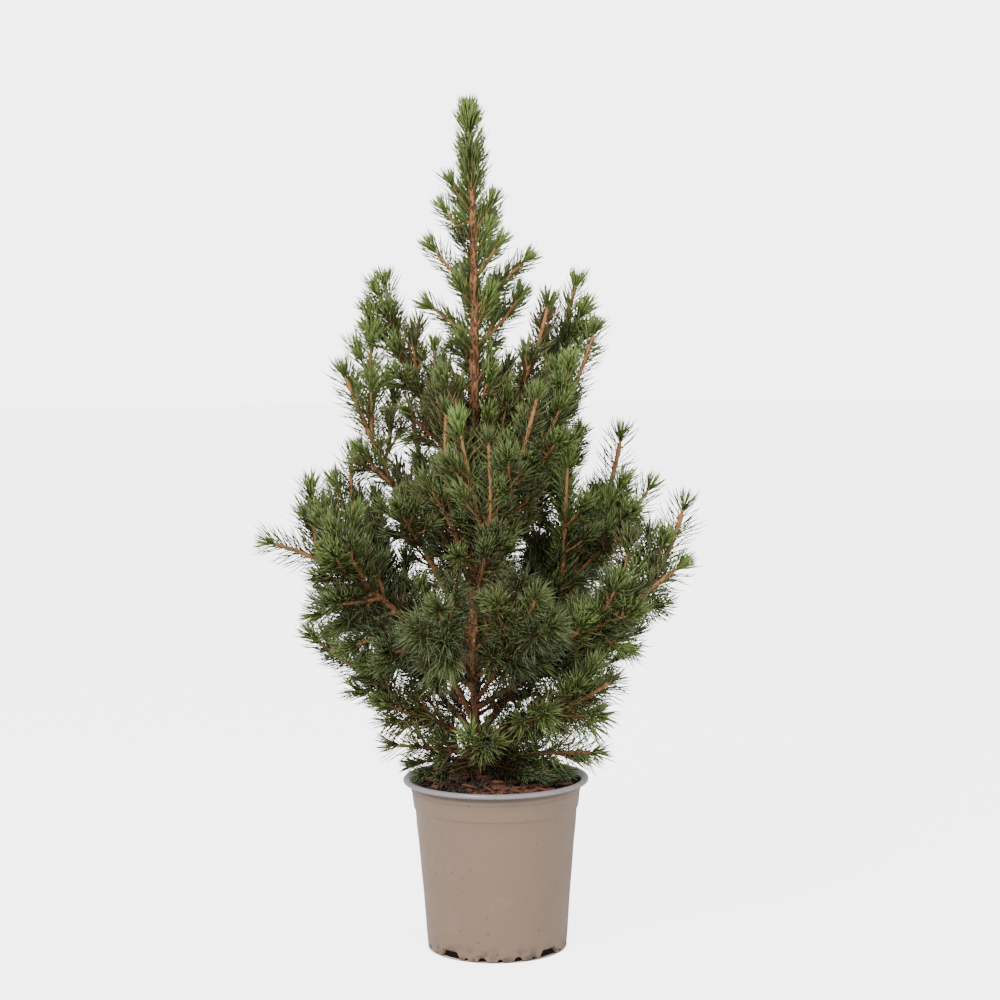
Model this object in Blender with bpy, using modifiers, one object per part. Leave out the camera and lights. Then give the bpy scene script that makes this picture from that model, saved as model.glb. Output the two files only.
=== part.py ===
"""A young Alberta spruce growing in its round nursery pot.

Metres, +Z up. The origin is the centre of the pot's flat underside, +X is the plant's right and -Y its front.
The trunk is one slender leaning stem. Every other limb is an arc that leaves the trunk at its foot height and
swings out along its azimuth: a bough is the bare part of such an arc, and a foliage mass is an uneven spindle
moulded round the rest of it. Masses keep to their own side of one another, of the trunk and of bare boughs.
"""

import math
from collections import namedtuple

import bmesh
import bpy
import numpy as np
from mathutils import Matrix, Vector

GAP = 0.0003  # between pieces that touch on the real plant

# Pot: outer radii at their heights, from the lip down
POT_HEIGHT = 0.120
RIM_RADIUS = 0.065
LIP_DEPTH = 0.0045
LIP_ROUND = 0.0018
NECK_RADIUS = 0.0592
SHOULDER_HEIGHT = 0.0985
SHOULDER_STEP = 0.0009
SHOULDER_RADIUS = 0.0566
FOOT_RADIUS = 0.0487
FOOT_CHAMFER = 0.0040
WALL = 0.0012
FLOOR = 0.0022
POT_STEPS = 32
SLOT_COUNT = 4
SLOT_WIDTH = 0.0155
SLOT_HEIGHT = 0.0058
SCALLOP_ANGLES = (-29.0, -15.0, 0.0, 15.0, 29.0)  # degrees from the middle between two slots
SCALLOP_RADII = (0.0020, 0.0032, 0.0020, 0.0032, 0.0020)
SCALLOP_DEPTH = 0.0026

# Soil: a low mound that stands a little below the lip at the wall
SOIL_TOP = 0.1195
SOIL_EDGE = 0.1120
SOIL_FLAT_RADIUS = 0.030

# Trunk
TRUNK_X = -0.0131
TRUNK_Y = 0.0080
TRUNK_BASE = SOIL_TOP + GAP
TRUNK_TIP = 0.5830
TRUNK_BEND = 0.0018
TRUNK_LEAN = -0.0015
TRUNK_FLARE = 0.0026
FLARE_HEIGHT = 0.0060
TRUNK_THICKNESS = ((0.120, 0.0043), (0.170, 0.0039), (0.260, 0.0037), (0.410, 0.0034), (0.450, 0.0027),
                   (0.510, 0.0024), (0.555, 0.0018), (0.583, 0.0011))

# Limbs: foot height on the trunk, azimuth in degrees from the right towards the back, reach of the needle
# tips from the trunk, their height, rise of the arc above its chord as a share of the chord (below it if
# negative), share of the limb that is bare, and the foliage's largest radius
Limb = namedtuple("Limb", "name foot azimuth reach tip arch bare girth")
BOUGHS = (
    Limb("low_left", 0.153, -165, 0.151, 0.291, 0.12, 0.34, 0.030),
    Limb("low_right", 0.132, -15, 0.151, 0.319, -0.10, 0.40, 0.025),
    Limb("low_right_outer", 0.166, -27, 0.163, 0.279, -0.02, 0.24, 0.026),
    Limb("low_right_inner", 0.146, 13, 0.109, 0.364, -0.08, 0.34, 0.028),
    Limb("low_front_left", 0.184, -101, 0.118, 0.256, -0.02, 0.22, 0.030),
    Limb("low_front_right", 0.170, -66, 0.112, 0.262, -0.03, 0.24, 0.029),
    Limb("low_back_left", 0.148, 133, 0.132, 0.292, -0.06, 0.26, 0.031),
    Limb("low_back", 0.160, 92, 0.122, 0.268, -0.04, 0.24, 0.031),
    Limb("low_back_right", 0.143, 52, 0.130, 0.298, -0.07, 0.26, 0.031),
    Limb("middle_left", 0.180, 163, 0.089, 0.353, -0.15, 0.26, 0.027),
    Limb("middle_left_upper", 0.215, -177, 0.091, 0.411, -0.02, 0.20, 0.027),
    Limb("middle_right", 0.208, 3, 0.130, 0.328, -0.06, 0.20, 0.027),
    Limb("middle_right_rear", 0.243, 32, 0.084, 0.396, -0.06, 0.18, 0.026),
    Limb("upper_left", 0.315, 170, 0.063, 0.475, -0.05, 0.18, 0.021),
    Limb("upper_right", 0.300, 18, 0.080, 0.473, -0.06, 0.18, 0.022),
    Limb("upper_right_outer", 0.280, -9, 0.090, 0.439, -0.05, 0.20, 0.022),
)
LEAFY_BOUGHS = (
    Limb("low_left_under", 0.144, 176, 0.104, 0.209, -0.02, 0.0, 0.023),
    Limb("low_right_under", 0.144, -40, 0.128, 0.202, -0.03, 0.0, 0.022),
    Limb("middle_front_left", 0.262, -112, 0.043, 0.386, -0.10, 0.0, 0.020),
    Limb("middle_front", 0.240, -78, 0.052, 0.367, -0.12, 0.0, 0.020),
    Limb("middle_front_right", 0.262, -42, 0.064, 0.397, -0.07, 0.0, 0.021),
    Limb("middle_back_left", 0.238, 122, 0.088, 0.388, -0.06, 0.0, 0.027),
    Limb("middle_back_right", 0.252, 72, 0.082, 0.402, -0.06, 0.0, 0.027),
    Limb("upper_left_inner", 0.335, -155, 0.028, 0.429, -0.10, 0.0, 0.015),
    Limb("upper_right_inner", 0.331, -12, 0.056, 0.459, -0.06, 0.0, 0.018),
    Limb("upper_back", 0.322, 90, 0.062, 0.462, -0.06, 0.0, 0.021),
)
SHOOTS = (
    Limb("crown_left_high", 0.511, 180, 0.018, 0.541, 0.0, 0.0, 0.0085),
    Limb("crown_left", 0.492, -170, 0.026, 0.521, 0.0, 0.0, 0.0095),
    Limb("crown_right_high", 0.497, 2, 0.017, 0.528, 0.0, 0.0, 0.0090),
    Limb("crown_left_low", 0.459, 178, 0.034, 0.496, -0.03, 0.0, 0.0105),
    Limb("crown_right", 0.468, -22, 0.023, 0.500, -0.03, 0.0, 0.0100),
    Limb("crown_right_low", 0.446, -8, 0.043, 0.486, 0.0, 0.0, 0.0105),
    Limb("crown_left_spur", 0.428, -168, 0.037, 0.455, -0.05, 0.0, 0.0105),
    Limb("crown_right_spur", 0.420, 8, 0.036, 0.463, -0.05, 0.0, 0.0110),
    Limb("foot_right", 0.132, 34, 0.112, 0.152, 0.05, 0.0, 0.0105),
    Limb("foot_right_low", 0.131, -37, 0.109, 0.146, 0.02, 0.0, 0.0100),
    Limb("foot_left", 0.132, 140, 0.062, 0.175, -0.14, 0.0, 0.0090),
    Limb("foot_left_low", 0.133, -158, 0.070, 0.146, 0.03, 0.0, 0.0095),
    Limb("foot_front", 0.136, -84, 0.074, 0.157, 0.02, 0.0, 0.0130),
)
BOUGH_RADIUS = 0.0022  # at the trunk
BOUGH_TAPER = 0.45  # of that radius is left at the needle tips
SIDE_SWAY = 0.03  # most that an arc leaves its vertical plane, as a share of its length

# The leader's needles clothe the trunk's last stretch
LEADER_BOTTOM = 0.5200
LEADER_TOP = 0.5920
LEADER_GIRTH = 0.0125

# Foliage surfaces
MASS_GAP = 0.0012  # between two masses, and from a mass to a bare limb
MASS_SIDES = 10
MASS_RINGS = 9
SHOOT_SIDES = 8
SHOOT_RINGS = 6
UNEVENNESS = 0.20
ARC_POINTS = 48

GREEN = (0.055, 0.130, 0.045)
GREEN_YOUNG = (0.120, 0.230, 0.060)
BARK = (0.350, 0.150, 0.060)
TAUPE = (0.350, 0.270, 0.215)
EARTH = (0.030, 0.018, 0.012)


def clear_scene():
    for obj in list(bpy.data.objects):
        bpy.data.objects.remove(obj, do_unlink=True)


def new_collection(name):
    collection = bpy.data.collections.new(name)
    bpy.context.scene.collection.children.link(collection)
    return collection


def new_material(name, colour, roughness):
    material = bpy.data.materials.new(name)
    material.use_nodes = True
    shader = material.node_tree.nodes["Principled BSDF"]
    shader.inputs["Base Color"].default_value = (*colour, 1.0)
    shader.inputs["Roughness"].default_value = roughness
    shader.inputs["Metallic"].default_value = 0.0
    return material


def place(name, data, collection, parent, material=None):
    """A new object of this data, in the collection and under the parent."""
    obj = bpy.data.objects.new(name, data)
    collection.objects.link(obj)
    obj.parent = parent
    if material:
        data.materials.append(material)
    return obj


# Trunk ---------------------------------------------------------------------------------------------------


def trunk_centre(height):
    """The trunk's middle at a height: one slow S-bend, then a lean at the tip."""
    share = (height - TRUNK_BASE) / (TRUNK_TIP - TRUNK_BASE)
    x = TRUNK_X - TRUNK_BEND * math.sin(2 * math.pi * share) + TRUNK_LEAN * share**4
    y = TRUNK_Y + TRUNK_BEND * math.sin(1.5 * math.pi * share)
    return Vector((x, y, height))


def trunk_radius(height):
    heights, radii = zip(*TRUNK_THICKNESS)
    flare = TRUNK_FLARE * math.exp(-(height - TRUNK_BASE) / FLARE_HEIGHT)
    return float(np.interp(height, heights, radii)) + flare


def trunk_heights():
    """Close together in the root flare, then evenly up to the tip."""
    flare = [TRUNK_BASE + FLARE_HEIGHT * step for step in (0.0, 0.12, 0.5, 1.0, 2.0, 3.5)]
    stem = np.linspace(flare[-1], TRUNK_TIP, 13)[1:]
    return flare + [float(height) for height in stem]


def tube_data(name, points, radii, resolution):
    """A curve of straight pieces through the points, with its own radius at each, and closed at both ends."""
    data = bpy.data.curves.new(name, "CURVE")
    data.dimensions = "3D"
    data.bevel_depth = 1.0
    data.bevel_resolution = resolution
    data.use_fill_caps = True
    spline = data.splines.new("POLY")
    spline.points.add(len(points) - 1)
    for knot, point, radius in zip(spline.points, points, radii):
        knot.co = (*point, 1.0)
        knot.radius = radius
    return data


def trunk_data(name, extra=0.0, below=0.0):
    """The trunk's tube, thicker by extra and longer by below at its foot."""
    heights = trunk_heights()
    points = [trunk_centre(height) for height in heights]
    points[1].xy = points[0].xy  # so that the cut at the ground is level
    radii = [trunk_radius(height) + extra for height in heights]
    points[0].z -= below
    points[-1].z += extra
    return tube_data(name, points, radii, 4)


def as_mesh(obj, collection, parent):
    """The curve object's evaluated surface as a mesh object in its place, with the caps welded on."""
    bpy.context.view_layer.update()
    graph = bpy.context.evaluated_depsgraph_get()
    mesh = bpy.data.meshes.new_from_object(obj.evaluated_get(graph))
    made = bmesh.new()
    made.from_mesh(mesh)
    bmesh.ops.remove_doubles(made, verts=made.verts, dist=1e-6)
    bmesh.ops.recalc_face_normals(made, faces=made.faces)
    made.to_mesh(mesh)
    made.free()
    name = obj.name
    matrix = obj.matrix_world.copy()
    bpy.data.objects.remove(obj)
    solid = place(name, mesh, collection, parent)
    solid.matrix_world = matrix
    return solid


# Limbs ---------------------------------------------------------------------------------------------------


def limb_frame(limb):
    """Where a limb's own frame stands: its origin on the trunk's middle, +X along its azimuth."""
    return Matrix.Translation(trunk_centre(limb.foot)) @ Matrix.Rotation(math.radians(limb.azimuth), 4, "Z")


def limb_arc(limb, seed):
    """Points of the limb's arc in its own frame: a quadratic curve bowed in its vertical plane and a little aside."""
    tip = np.array((limb.reach, 0.0, limb.tip - limb.foot))
    chord = float(np.linalg.norm(tip))
    up = np.array((-tip[2], 0.0, tip[0])) / chord
    sway = SIDE_SWAY * math.sin(2.4 * seed)
    middle = tip / 2 + 2 * chord * (limb.arch * up + sway * np.array((0.0, 1.0, 0.0)))
    along = np.linspace(0.0, 1.0, ARC_POINTS)[:, None]
    return 2 * along * (1 - along) * middle + along**2 * tip


def shares_of(points):
    """How far along the line each point lies, from 0 to 1."""
    steps = np.linalg.norm(np.diff(points, axis=0), axis=1)
    return np.concatenate(([0.0], np.cumsum(steps))) / steps.sum()


def along(points, wanted):
    """Points of the line at the wanted shares of its length."""
    shares = shares_of(points)
    return np.stack([np.interp(wanted, shares, points[:, axis]) for axis in range(3)], axis=1)


def share_clear_of_trunk(limb, arc, radius):
    """The share of the arc at which a round end of this radius has just left the trunk."""
    fine = np.linspace(0.0, 0.5, 400)
    points = along(arc, fine)
    nearest = np.hypot(points[:, 0], points[:, 1]) - 0.9 * radius * np.abs(tangents_of(points)[:, 2])
    trunk = np.array([trunk_radius(limb.foot + height) for height in points[:, 2]])
    return float(fine[np.argmax(nearest >= trunk + GAP)])


def limb_radius(limb, share):
    return BOUGH_RADIUS * (limb.reach + limb.tip - limb.foot) / 0.30 * (1 - (1 - BOUGH_TAPER) * share) + 0.0005


def world(limb, points):
    frame = np.array(limb_frame(limb))
    return points @ frame[:3, :3].T + frame[:3, 3]


def add_bough(limb, arc, collection, parent, material):
    """The bare part of a limb, from the trunk to where its foliage begins."""
    start = share_clear_of_trunk(limb, arc, limb_radius(limb, 0.0))
    shares = np.linspace(start, limb.bare, 7)
    radii = [limb_radius(limb, share) for share in shares]
    data = tube_data(f"bough_{limb.name}", along(arc, shares), radii, 1)
    bough = place(f"bough_{limb.name}", data, collection, parent, material)
    bough.matrix_local = limb_frame(limb)
    return world(limb, along(arc, np.linspace(start, limb.bare, 16)))


# Foliage -------------------------------------------------------------------------------------------------


def girth_profile(share, blunt):
    """A spindle's radius along its length: it swells quickly, is widest below its middle and ends as a brush."""
    swell = np.sin(np.pi * np.clip(share, 0.0, 1.0) ** 0.72) ** 0.62
    brush = blunt * np.sin(np.pi * np.clip(share, 0.0, 1.0)) ** 0.25
    return np.maximum(swell, brush)


def foliage_start(limb, arc):
    """The share at which the foliage begins: just past the bare bough, or just clear of the trunk."""
    length = float(np.linalg.norm(np.diff(arc, axis=0), axis=1).sum())
    if limb.bare:
        return limb.bare + GAP / length
    return share_clear_of_trunk(limb, arc, 0.0)


def tangents_of(points):
    way = np.gradient(points, axis=0)
    return way / np.linalg.norm(way, axis=1, keepdims=True)


class Spindle:
    """The plan of one foliage mass: its line in the world, its radius along it, and its own unevenness."""

    def __init__(self, name, line, girth, blunt, sides, rings, seed):
        self.name = name
        self.line = line
        self.girth = girth
        self.blunt = blunt
        self.sides = sides
        self.rings = rings
        self.phases = np.random.default_rng(seed).uniform(0, 2 * np.pi, 6)
        shares = shares_of(line)
        self.weights = girth * np.maximum(girth_profile(shares, blunt), 0.4)

    def radius(self, share, angle):
        """The radius at a share of the length and an angle round it: the profile under slow swells and dents."""
        one, two, three, four, five, six = self.phases
        swell = np.sin(2 * angle + 5 * share + one) + 0.8 * np.sin(3 * angle - 7 * share + two)
        swell += 0.7 * np.sin(angle + 11 * share + three) + 0.5 * np.sin(4 * angle + 16 * share + four)
        swell += 0.4 * np.sin(9 * share + five) + 0.3 * np.sin(5 * angle + six)
        return self.girth * girth_profile(share, self.blunt) * (1 + UNEVENNESS * swell / 1.6)

    def nearness(self, points, gap):
        """Distance from this line in units of its radius there: a point belongs to the mass where it is least."""
        offset = points[..., None, :] - self.line
        return ((np.linalg.norm(offset, axis=-1) - gap) / self.weights).min(axis=-1)


def ring_frames(line):
    """Two directions across the line at each point, from one that never turns about the line."""
    way = tangents_of(line)
    side = np.cross(way, (0.0, 0.0, 1.0))
    side /= np.maximum(np.linalg.norm(side, axis=1, keepdims=True), 1e-9)
    return side, np.cross(side, way)


def outer_shares(spindle, centres, spokes, spindles, limbs):
    """How much of each spoke, from the line outwards, stays on this mass's side of everything near it."""
    steps = np.linspace(0.04, 1.0, 49)
    points = centres[None] + steps[:, None, None, None] * spokes[None]
    own = spindle.nearness(points, 0.0)
    free = np.ones(own.shape, bool)
    reach = 2 * spindle.girth
    for other in spindles:
        near = np.linalg.norm(other.line[:, None] - spindle.line[None], axis=-1).min()
        if other is not spindle and near < reach + 2 * other.girth:
            free &= own <= other.nearness(points, MASS_GAP)
    for name, line, radii in limbs:
        if name == spindle.name:
            continue
        offset = np.linalg.norm(points[..., None, :] - line, axis=-1)
        side = ((offset - MASS_GAP) / (0.75 * spindle.girth)).min(axis=-1)
        free &= own <= side
        free &= (offset - radii).min(axis=-1) >= MASS_GAP / 2
    reached = np.cumprod(free, axis=0).sum(axis=0)
    return np.where(reached > 0, steps[np.maximum(reached - 1, 0)], steps[0] / 2)


def mould(spindle, spindles, limbs):
    """A ball mesh drawn out along the line: its parallels become rings, cut back at the neighbours."""
    mesh = bpy.data.meshes.new(spindle.name)
    ball = bmesh.new()
    bmesh.ops.create_uvsphere(ball, u_segments=spindle.sides, v_segments=spindle.rings + 1, radius=1.0)
    ball.to_mesh(mesh)
    ball.free()
    unit = np.empty(len(mesh.vertices) * 3)
    mesh.vertices.foreach_get("co", unit)
    unit = unit.reshape(-1, 3)
    share = np.arccos(np.clip(-unit[:, 2], -1, 1)) / np.pi
    angle = np.arctan2(unit[:, 1], unit[:, 0])
    fine = np.linspace(0.0, 1.0, len(spindle.line))
    side, over = ring_frames(spindle.line)
    side = np.stack([np.interp(share, fine, side[:, axis]) for axis in range(3)], axis=1)
    over = np.stack([np.interp(share, fine, over[:, axis]) for axis in range(3)], axis=1)
    centres = np.stack([np.interp(share, fine, spindle.line[:, axis]) for axis in range(3)], axis=1)
    radius = spindle.radius(share, angle) * (np.abs(unit[:, 2]) < 0.9999)
    spokes = radius[:, None] * (np.cos(angle)[:, None] * side + np.sin(angle)[:, None] * over)
    kept = outer_shares(spindle, centres[:, None], spokes[:, None], spindles, limbs)
    points = centres + spokes * kept
    return mesh, points


def add_mass(spindle, frame, spindles, limbs, collection, parent, material):
    mesh, points = mould(spindle, spindles, limbs)
    inverse = np.array(frame.inverted())
    local = points @ inverse[:3, :3].T + inverse[:3, 3]
    mesh.vertices.foreach_set("co", local.ravel())
    made = bmesh.new()
    made.from_mesh(mesh)
    bmesh.ops.recalc_face_normals(made, faces=made.faces)
    made.to_mesh(mesh)
    made.free()
    mesh.shade_smooth()
    mass = place(spindle.name, mesh, collection, parent, material)
    mass.matrix_local = frame
    return mass


def spindle_of(limb, arc, seed, sides, rings, blunt):
    start = foliage_start(limb, arc)
    line = world(limb, along(arc, np.linspace(start, 1.0, ARC_POINTS)))
    return Spindle(f"foliage_{limb.name}", line, limb.girth, blunt, sides, rings, seed)


def leader_spindle():
    heights = np.linspace(LEADER_BOTTOM, LEADER_TOP, ARC_POINTS)
    line = np.array([trunk_centre(float(height)) for height in heights])
    return Spindle("foliage_leader", line, LEADER_GIRTH, 0.75, SHOOT_SIDES, SHOOT_RINGS + 2, 7)


def bore_for_trunk(mass, cutters, parent):
    """Opens the leader's foliage from below, so that it sits on the trunk's tip like a sleeve."""
    cutter = place("trunk_bore", trunk_data("trunk_bore", GAP), cutters, parent)
    cutter = as_mesh(cutter, cutters, parent)
    cutter.hide_render = True
    cutter.display_type = "WIRE"
    modifier = mass.modifiers.new("trunk bore", "BOOLEAN")
    modifier.operation = "DIFFERENCE"
    modifier.object = cutter


# Pot and soil --------------------------------------------------------------------------------------------


def outer_wall():
    """The pot's outer side as (radius, height), from under the lip to the foot."""
    below = SHOULDER_HEIGHT - SHOULDER_STEP * 2
    return [
        (NECK_RADIUS, POT_HEIGHT - LIP_DEPTH - 0.0020),
        (SHOULDER_RADIUS + SHOULDER_STEP, SHOULDER_HEIGHT),
        (SHOULDER_RADIUS, below),
        (FOOT_RADIUS, FOOT_CHAMFER),
        (FOOT_RADIUS - 0.0027, 0.0),
    ]


def inner_radius(height):
    """The cavity's radius at a height above the floor, one wall's thickness inside the outer side."""
    radii, heights = zip(*outer_wall())
    return float(np.interp(height, heights[::-1], radii[::-1])) - WALL


def pot_profile():
    """The whole section, up the cavity, over the rolled lip and down the outer side to the underside."""
    lip_top = POT_HEIGHT
    lip_under = POT_HEIGHT - LIP_DEPTH
    neck = POT_HEIGHT - LIP_DEPTH - 0.0020
    cavity = [(0.0, FLOOR), (inner_radius(FLOOR), FLOOR), (inner_radius(0.006), 0.006)]
    cavity += [(inner_radius(height), height) for height in (SHOULDER_HEIGHT - 0.0018, SHOULDER_HEIGHT, neck)]
    lip = [
        (RIM_RADIUS - 0.0045, lip_top - LIP_ROUND),
        (RIM_RADIUS - 0.0030, lip_top - 0.0003),
        (RIM_RADIUS - LIP_ROUND, lip_top),
        (RIM_RADIUS - 0.0004, lip_top - 0.0010),
        (RIM_RADIUS, lip_top - LIP_ROUND),
        (RIM_RADIUS - 0.0002, lip_under + 0.0004),
        (RIM_RADIUS - 0.0012, lip_under),
        (RIM_RADIUS - 0.0042, lip_under),
    ]
    return cavity + lip + outer_wall() + [(0.0, 0.0)]


def turned(name, profile, steps, collection, parent, material):
    """A profile of (radius, height) spun once round the Z axis."""
    mesh = bpy.data.meshes.new(name)
    points = [(radius, 0.0, height) for radius, height in profile]
    edges = [(index, index + 1) for index in range(len(points) - 1)]
    mesh.from_pydata(points, edges, [])
    obj = place(name, mesh, collection, parent, material)
    screw = obj.modifiers.new("turn", "SCREW")
    screw.axis = "Z"
    screw.steps = steps
    screw.render_steps = steps
    screw.use_merge_vertices = True
    screw.merge_threshold = 0.00005
    screw.use_smooth_shade = True
    return obj


def box_at(mesh, size, matrix):
    bmesh.ops.create_cube(mesh, size=1.0, matrix=matrix @ Matrix.Diagonal((*size, 1.0)))


def foot_cutters(cutters, parent):
    """Four drain slots through the foot of the wall, and a row of small scallops in its edge between them."""
    made = bmesh.new()
    for slot in range(SLOT_COUNT):
        turn = Matrix.Rotation(math.radians(45 + 360 / SLOT_COUNT * slot), 4, "Z")
        middle = turn @ Matrix.Translation((FOOT_RADIUS - 0.001, 0.0, SLOT_HEIGHT / 2 - 0.0005))
        box_at(made, (0.012, SLOT_WIDTH, SLOT_HEIGHT + 0.001), middle)
        for angle, radius in zip(SCALLOP_ANGLES, SCALLOP_RADII):
            turn = Matrix.Rotation(math.radians(angle + 360 / SLOT_COUNT * slot), 4, "Z")
            middle = turn @ Matrix.Translation((FOOT_RADIUS - SCALLOP_DEPTH + 0.0040, 0.0, 0.0))
            lying = middle @ Matrix.Rotation(math.radians(90), 4, "Y")
            bmesh.ops.create_cone(made, cap_ends=True, segments=6, radius1=radius, radius2=radius, depth=0.008,
                                  matrix=lying)
    mesh = bpy.data.meshes.new("foot_cutters")
    made.to_mesh(mesh)
    made.free()
    cutter = place("foot_cutters", mesh, cutters, parent)
    cutter.hide_render = True
    cutter.display_type = "WIRE"
    return cutter


def add_pot(collection, cutters, parent, material):
    pot = turned("pot", pot_profile(), POT_STEPS, collection, parent, material)
    modifier = pot.modifiers.new("foot slots", "BOOLEAN")
    modifier.operation = "DIFFERENCE"
    modifier.object = foot_cutters(cutters, parent)


def add_soil(collection, parent, material):
    """The soil fills the cavity up to its mound, clear of the wall by the gap."""
    sides = [(inner_radius(height) - GAP, height)
             for height in (SOIL_EDGE, SHOULDER_HEIGHT, SHOULDER_HEIGHT - 0.0018, 0.006, FLOOR + GAP)]
    mound = [(0.0, SOIL_TOP), (SOIL_FLAT_RADIUS, SOIL_TOP), (SOIL_FLAT_RADIUS + 0.014, SOIL_TOP - 0.0022)]
    turned("soil", mound + sides + [(0.0, FLOOR + GAP)], POT_STEPS, collection, parent, material)


def main():
    clear_scene()
    spruce = new_collection("potted_alberta_spruce")
    cutters = new_collection("cutters")
    root = place("potted_alberta_spruce", None, spruce, None)
    bark = new_material("bark", BARK, 0.80)
    green = new_material("needles", GREEN, 0.60)
    young = new_material("needles_young", GREEN_YOUNG, 0.60)
    add_pot(spruce, cutters, root, new_material("pot_plastic", TAUPE, 0.45))
    add_soil(spruce, root, new_material("soil", EARTH, 0.95))
    place("trunk", trunk_data("trunk"), spruce, root, bark)
    heights = trunk_heights()
    limbs = [("trunk", np.array([trunk_centre(h) for h in np.linspace(heights[0], heights[-1], 120)]),
              np.array([trunk_radius(h) for h in np.linspace(heights[0], heights[-1], 120)]))]
    plans = []
    for seed, limb in enumerate(BOUGHS + LEAFY_BOUGHS):
        arc = limb_arc(limb, seed)
        if limb.bare:
            line = add_bough(limb, arc, spruce, root, bark)
            limbs.append((f"foliage_{limb.name}", line, np.full(len(line), BOUGH_RADIUS)))
        plans.append((limb, spindle_of(limb, arc, seed, MASS_SIDES, MASS_RINGS, 0.42)))
    for seed, limb in enumerate(SHOOTS, start=60):
        arc = limb_arc(limb, seed)
        plans.append((limb, spindle_of(limb, arc, seed, SHOOT_SIDES, SHOOT_RINGS, 0.85)))
    leader = leader_spindle()
    spindles = [spindle for _, spindle in plans] + [leader]
    for limb, spindle in plans:
        material = green if limb.girth > 0.0135 else young
        add_mass(spindle, limb_frame(limb), spindles, limbs, spruce, root, material)
    mass = add_mass(leader, Matrix.Translation(trunk_centre(LEADER_BOTTOM)), spindles, [], spruce, root, young)
    bore_for_trunk(mass, cutters, root)


main()
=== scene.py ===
"""A young dwarf spruce in its nursery pot: bark, twigs, needles, pot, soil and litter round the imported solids.

Lengths are in metres. The course of the trunk and of every limb is read from its solids. Shoots grow on from
the limbs by a seeded branching rule, and needles grow on the shoots. A shoot is one row of a table and follows
a parabola: base + length * (way * share + bend * share squared / 2), with share running from 0 to 1.
"""

import functools
import math

import bpy
import numpy as np
from bpy.props import FloatProperty, FloatVectorProperty, IntProperty, PointerProperty
from mathutils import Matrix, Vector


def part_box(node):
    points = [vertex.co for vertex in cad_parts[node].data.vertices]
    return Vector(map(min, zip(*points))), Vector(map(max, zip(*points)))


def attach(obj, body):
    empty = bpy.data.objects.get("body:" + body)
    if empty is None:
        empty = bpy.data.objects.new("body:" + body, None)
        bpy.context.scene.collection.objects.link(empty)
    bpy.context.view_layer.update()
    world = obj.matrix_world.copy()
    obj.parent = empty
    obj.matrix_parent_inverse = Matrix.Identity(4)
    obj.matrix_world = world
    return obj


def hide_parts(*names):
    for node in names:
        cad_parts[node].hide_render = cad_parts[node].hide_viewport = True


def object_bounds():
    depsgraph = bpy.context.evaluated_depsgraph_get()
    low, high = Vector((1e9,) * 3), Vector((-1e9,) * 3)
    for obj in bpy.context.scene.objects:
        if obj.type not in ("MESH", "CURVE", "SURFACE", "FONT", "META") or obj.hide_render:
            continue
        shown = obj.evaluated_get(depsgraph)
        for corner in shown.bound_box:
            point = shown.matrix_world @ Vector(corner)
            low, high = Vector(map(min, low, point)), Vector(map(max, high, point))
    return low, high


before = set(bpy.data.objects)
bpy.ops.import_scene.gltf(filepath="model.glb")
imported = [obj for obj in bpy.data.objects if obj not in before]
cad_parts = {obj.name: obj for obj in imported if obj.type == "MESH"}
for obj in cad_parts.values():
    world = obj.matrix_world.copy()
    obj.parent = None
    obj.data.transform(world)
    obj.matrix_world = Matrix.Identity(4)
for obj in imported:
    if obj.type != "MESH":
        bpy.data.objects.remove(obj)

bl_info = {
    "name": "Potted Dwarf Spruce",
    "version": (1, 0, 0),
    "blender": (4, 5, 0),
    "location": "3D View > Sidebar > Spruce",
    "description": "Grows bark, twigs and needles on the spruce's solids and finishes its pot and soil",
    "category": "Object",
}

SOLIDS_BOX = [list(corner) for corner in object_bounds()]
UP = np.array((0.0, 0.0, 1.0))
CIRCLE = 2 * np.pi
GOLDEN_ANGLE = math.radians(137.508)
MOST_TRIANGLES = 200_000  # in one piece
POT_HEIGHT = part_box("pot")[1].z

# The foliage solids by the piece that replaces them; a name goes to the first group that it starts with
TIERS = {
    "crown": ("leader", "crown_"),
    "upper": ("upper_",),
    "middle_left": ("middle_left", "middle_back_left", "middle_front_left", "middle_front"),
    "middle_right": ("middle_",),
    "low_left": ("low_left", "low_front_left", "low_back_left"),
    "low_back": ("low_back",),
    "low_right": ("low_",),
    "foot": ("foot_",),
}
CROWN, UPPER, MIDDLE_LEFT, MIDDLE_RIGHT, LOW_LEFT, LOW_BACK, LOW_RIGHT, FOOT = range(len(TIERS))

# One row for each shoot
SHOOT = np.dtype([
    ("base", float, 3), ("way", float, 3), ("bend", float, 3), ("length", float),
    ("radius", float),  # of its wood at the base
    ("needle", float),  # a needle's length
    ("density", float),  # needles for each metre
    ("spread", float),  # angle between a needle and the shoot
    ("left", float),  # length of the same stem beyond this row
    ("tone", float),  # place on the palette, from deep shade to fresh growth
    ("tier", int),
    ("twig", bool),  # has wood of its own, unlike a stretch of the trunk or of a limb
    ("fan", bool),  # is the tuft at a shoot's end
    ("veiled", bool),  # has needles below it too
    ("foot", bool),  # is a stretch of a bough beside the trunk
    ("shown", bool),  # has needles parted in front rather than below
])


# Arrays of vectors and surfaces ---------------------------------------------------------------------------


def unit(vectors):
    return vectors / np.maximum(np.linalg.norm(vectors, axis=-1, keepdims=True), 1e-12)


def across(way, helper):
    """Two unit directions that make a right-handed frame with the way: side, over, way."""
    side = unit(np.cross(way, helper))
    return side, np.cross(way, side)


def round_way(way, turn):
    """Unit directions across the way, turned round it."""
    side, over = across(way, least_along(way))
    return np.cos(turn)[..., None] * side + np.sin(turn)[..., None] * over


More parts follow.
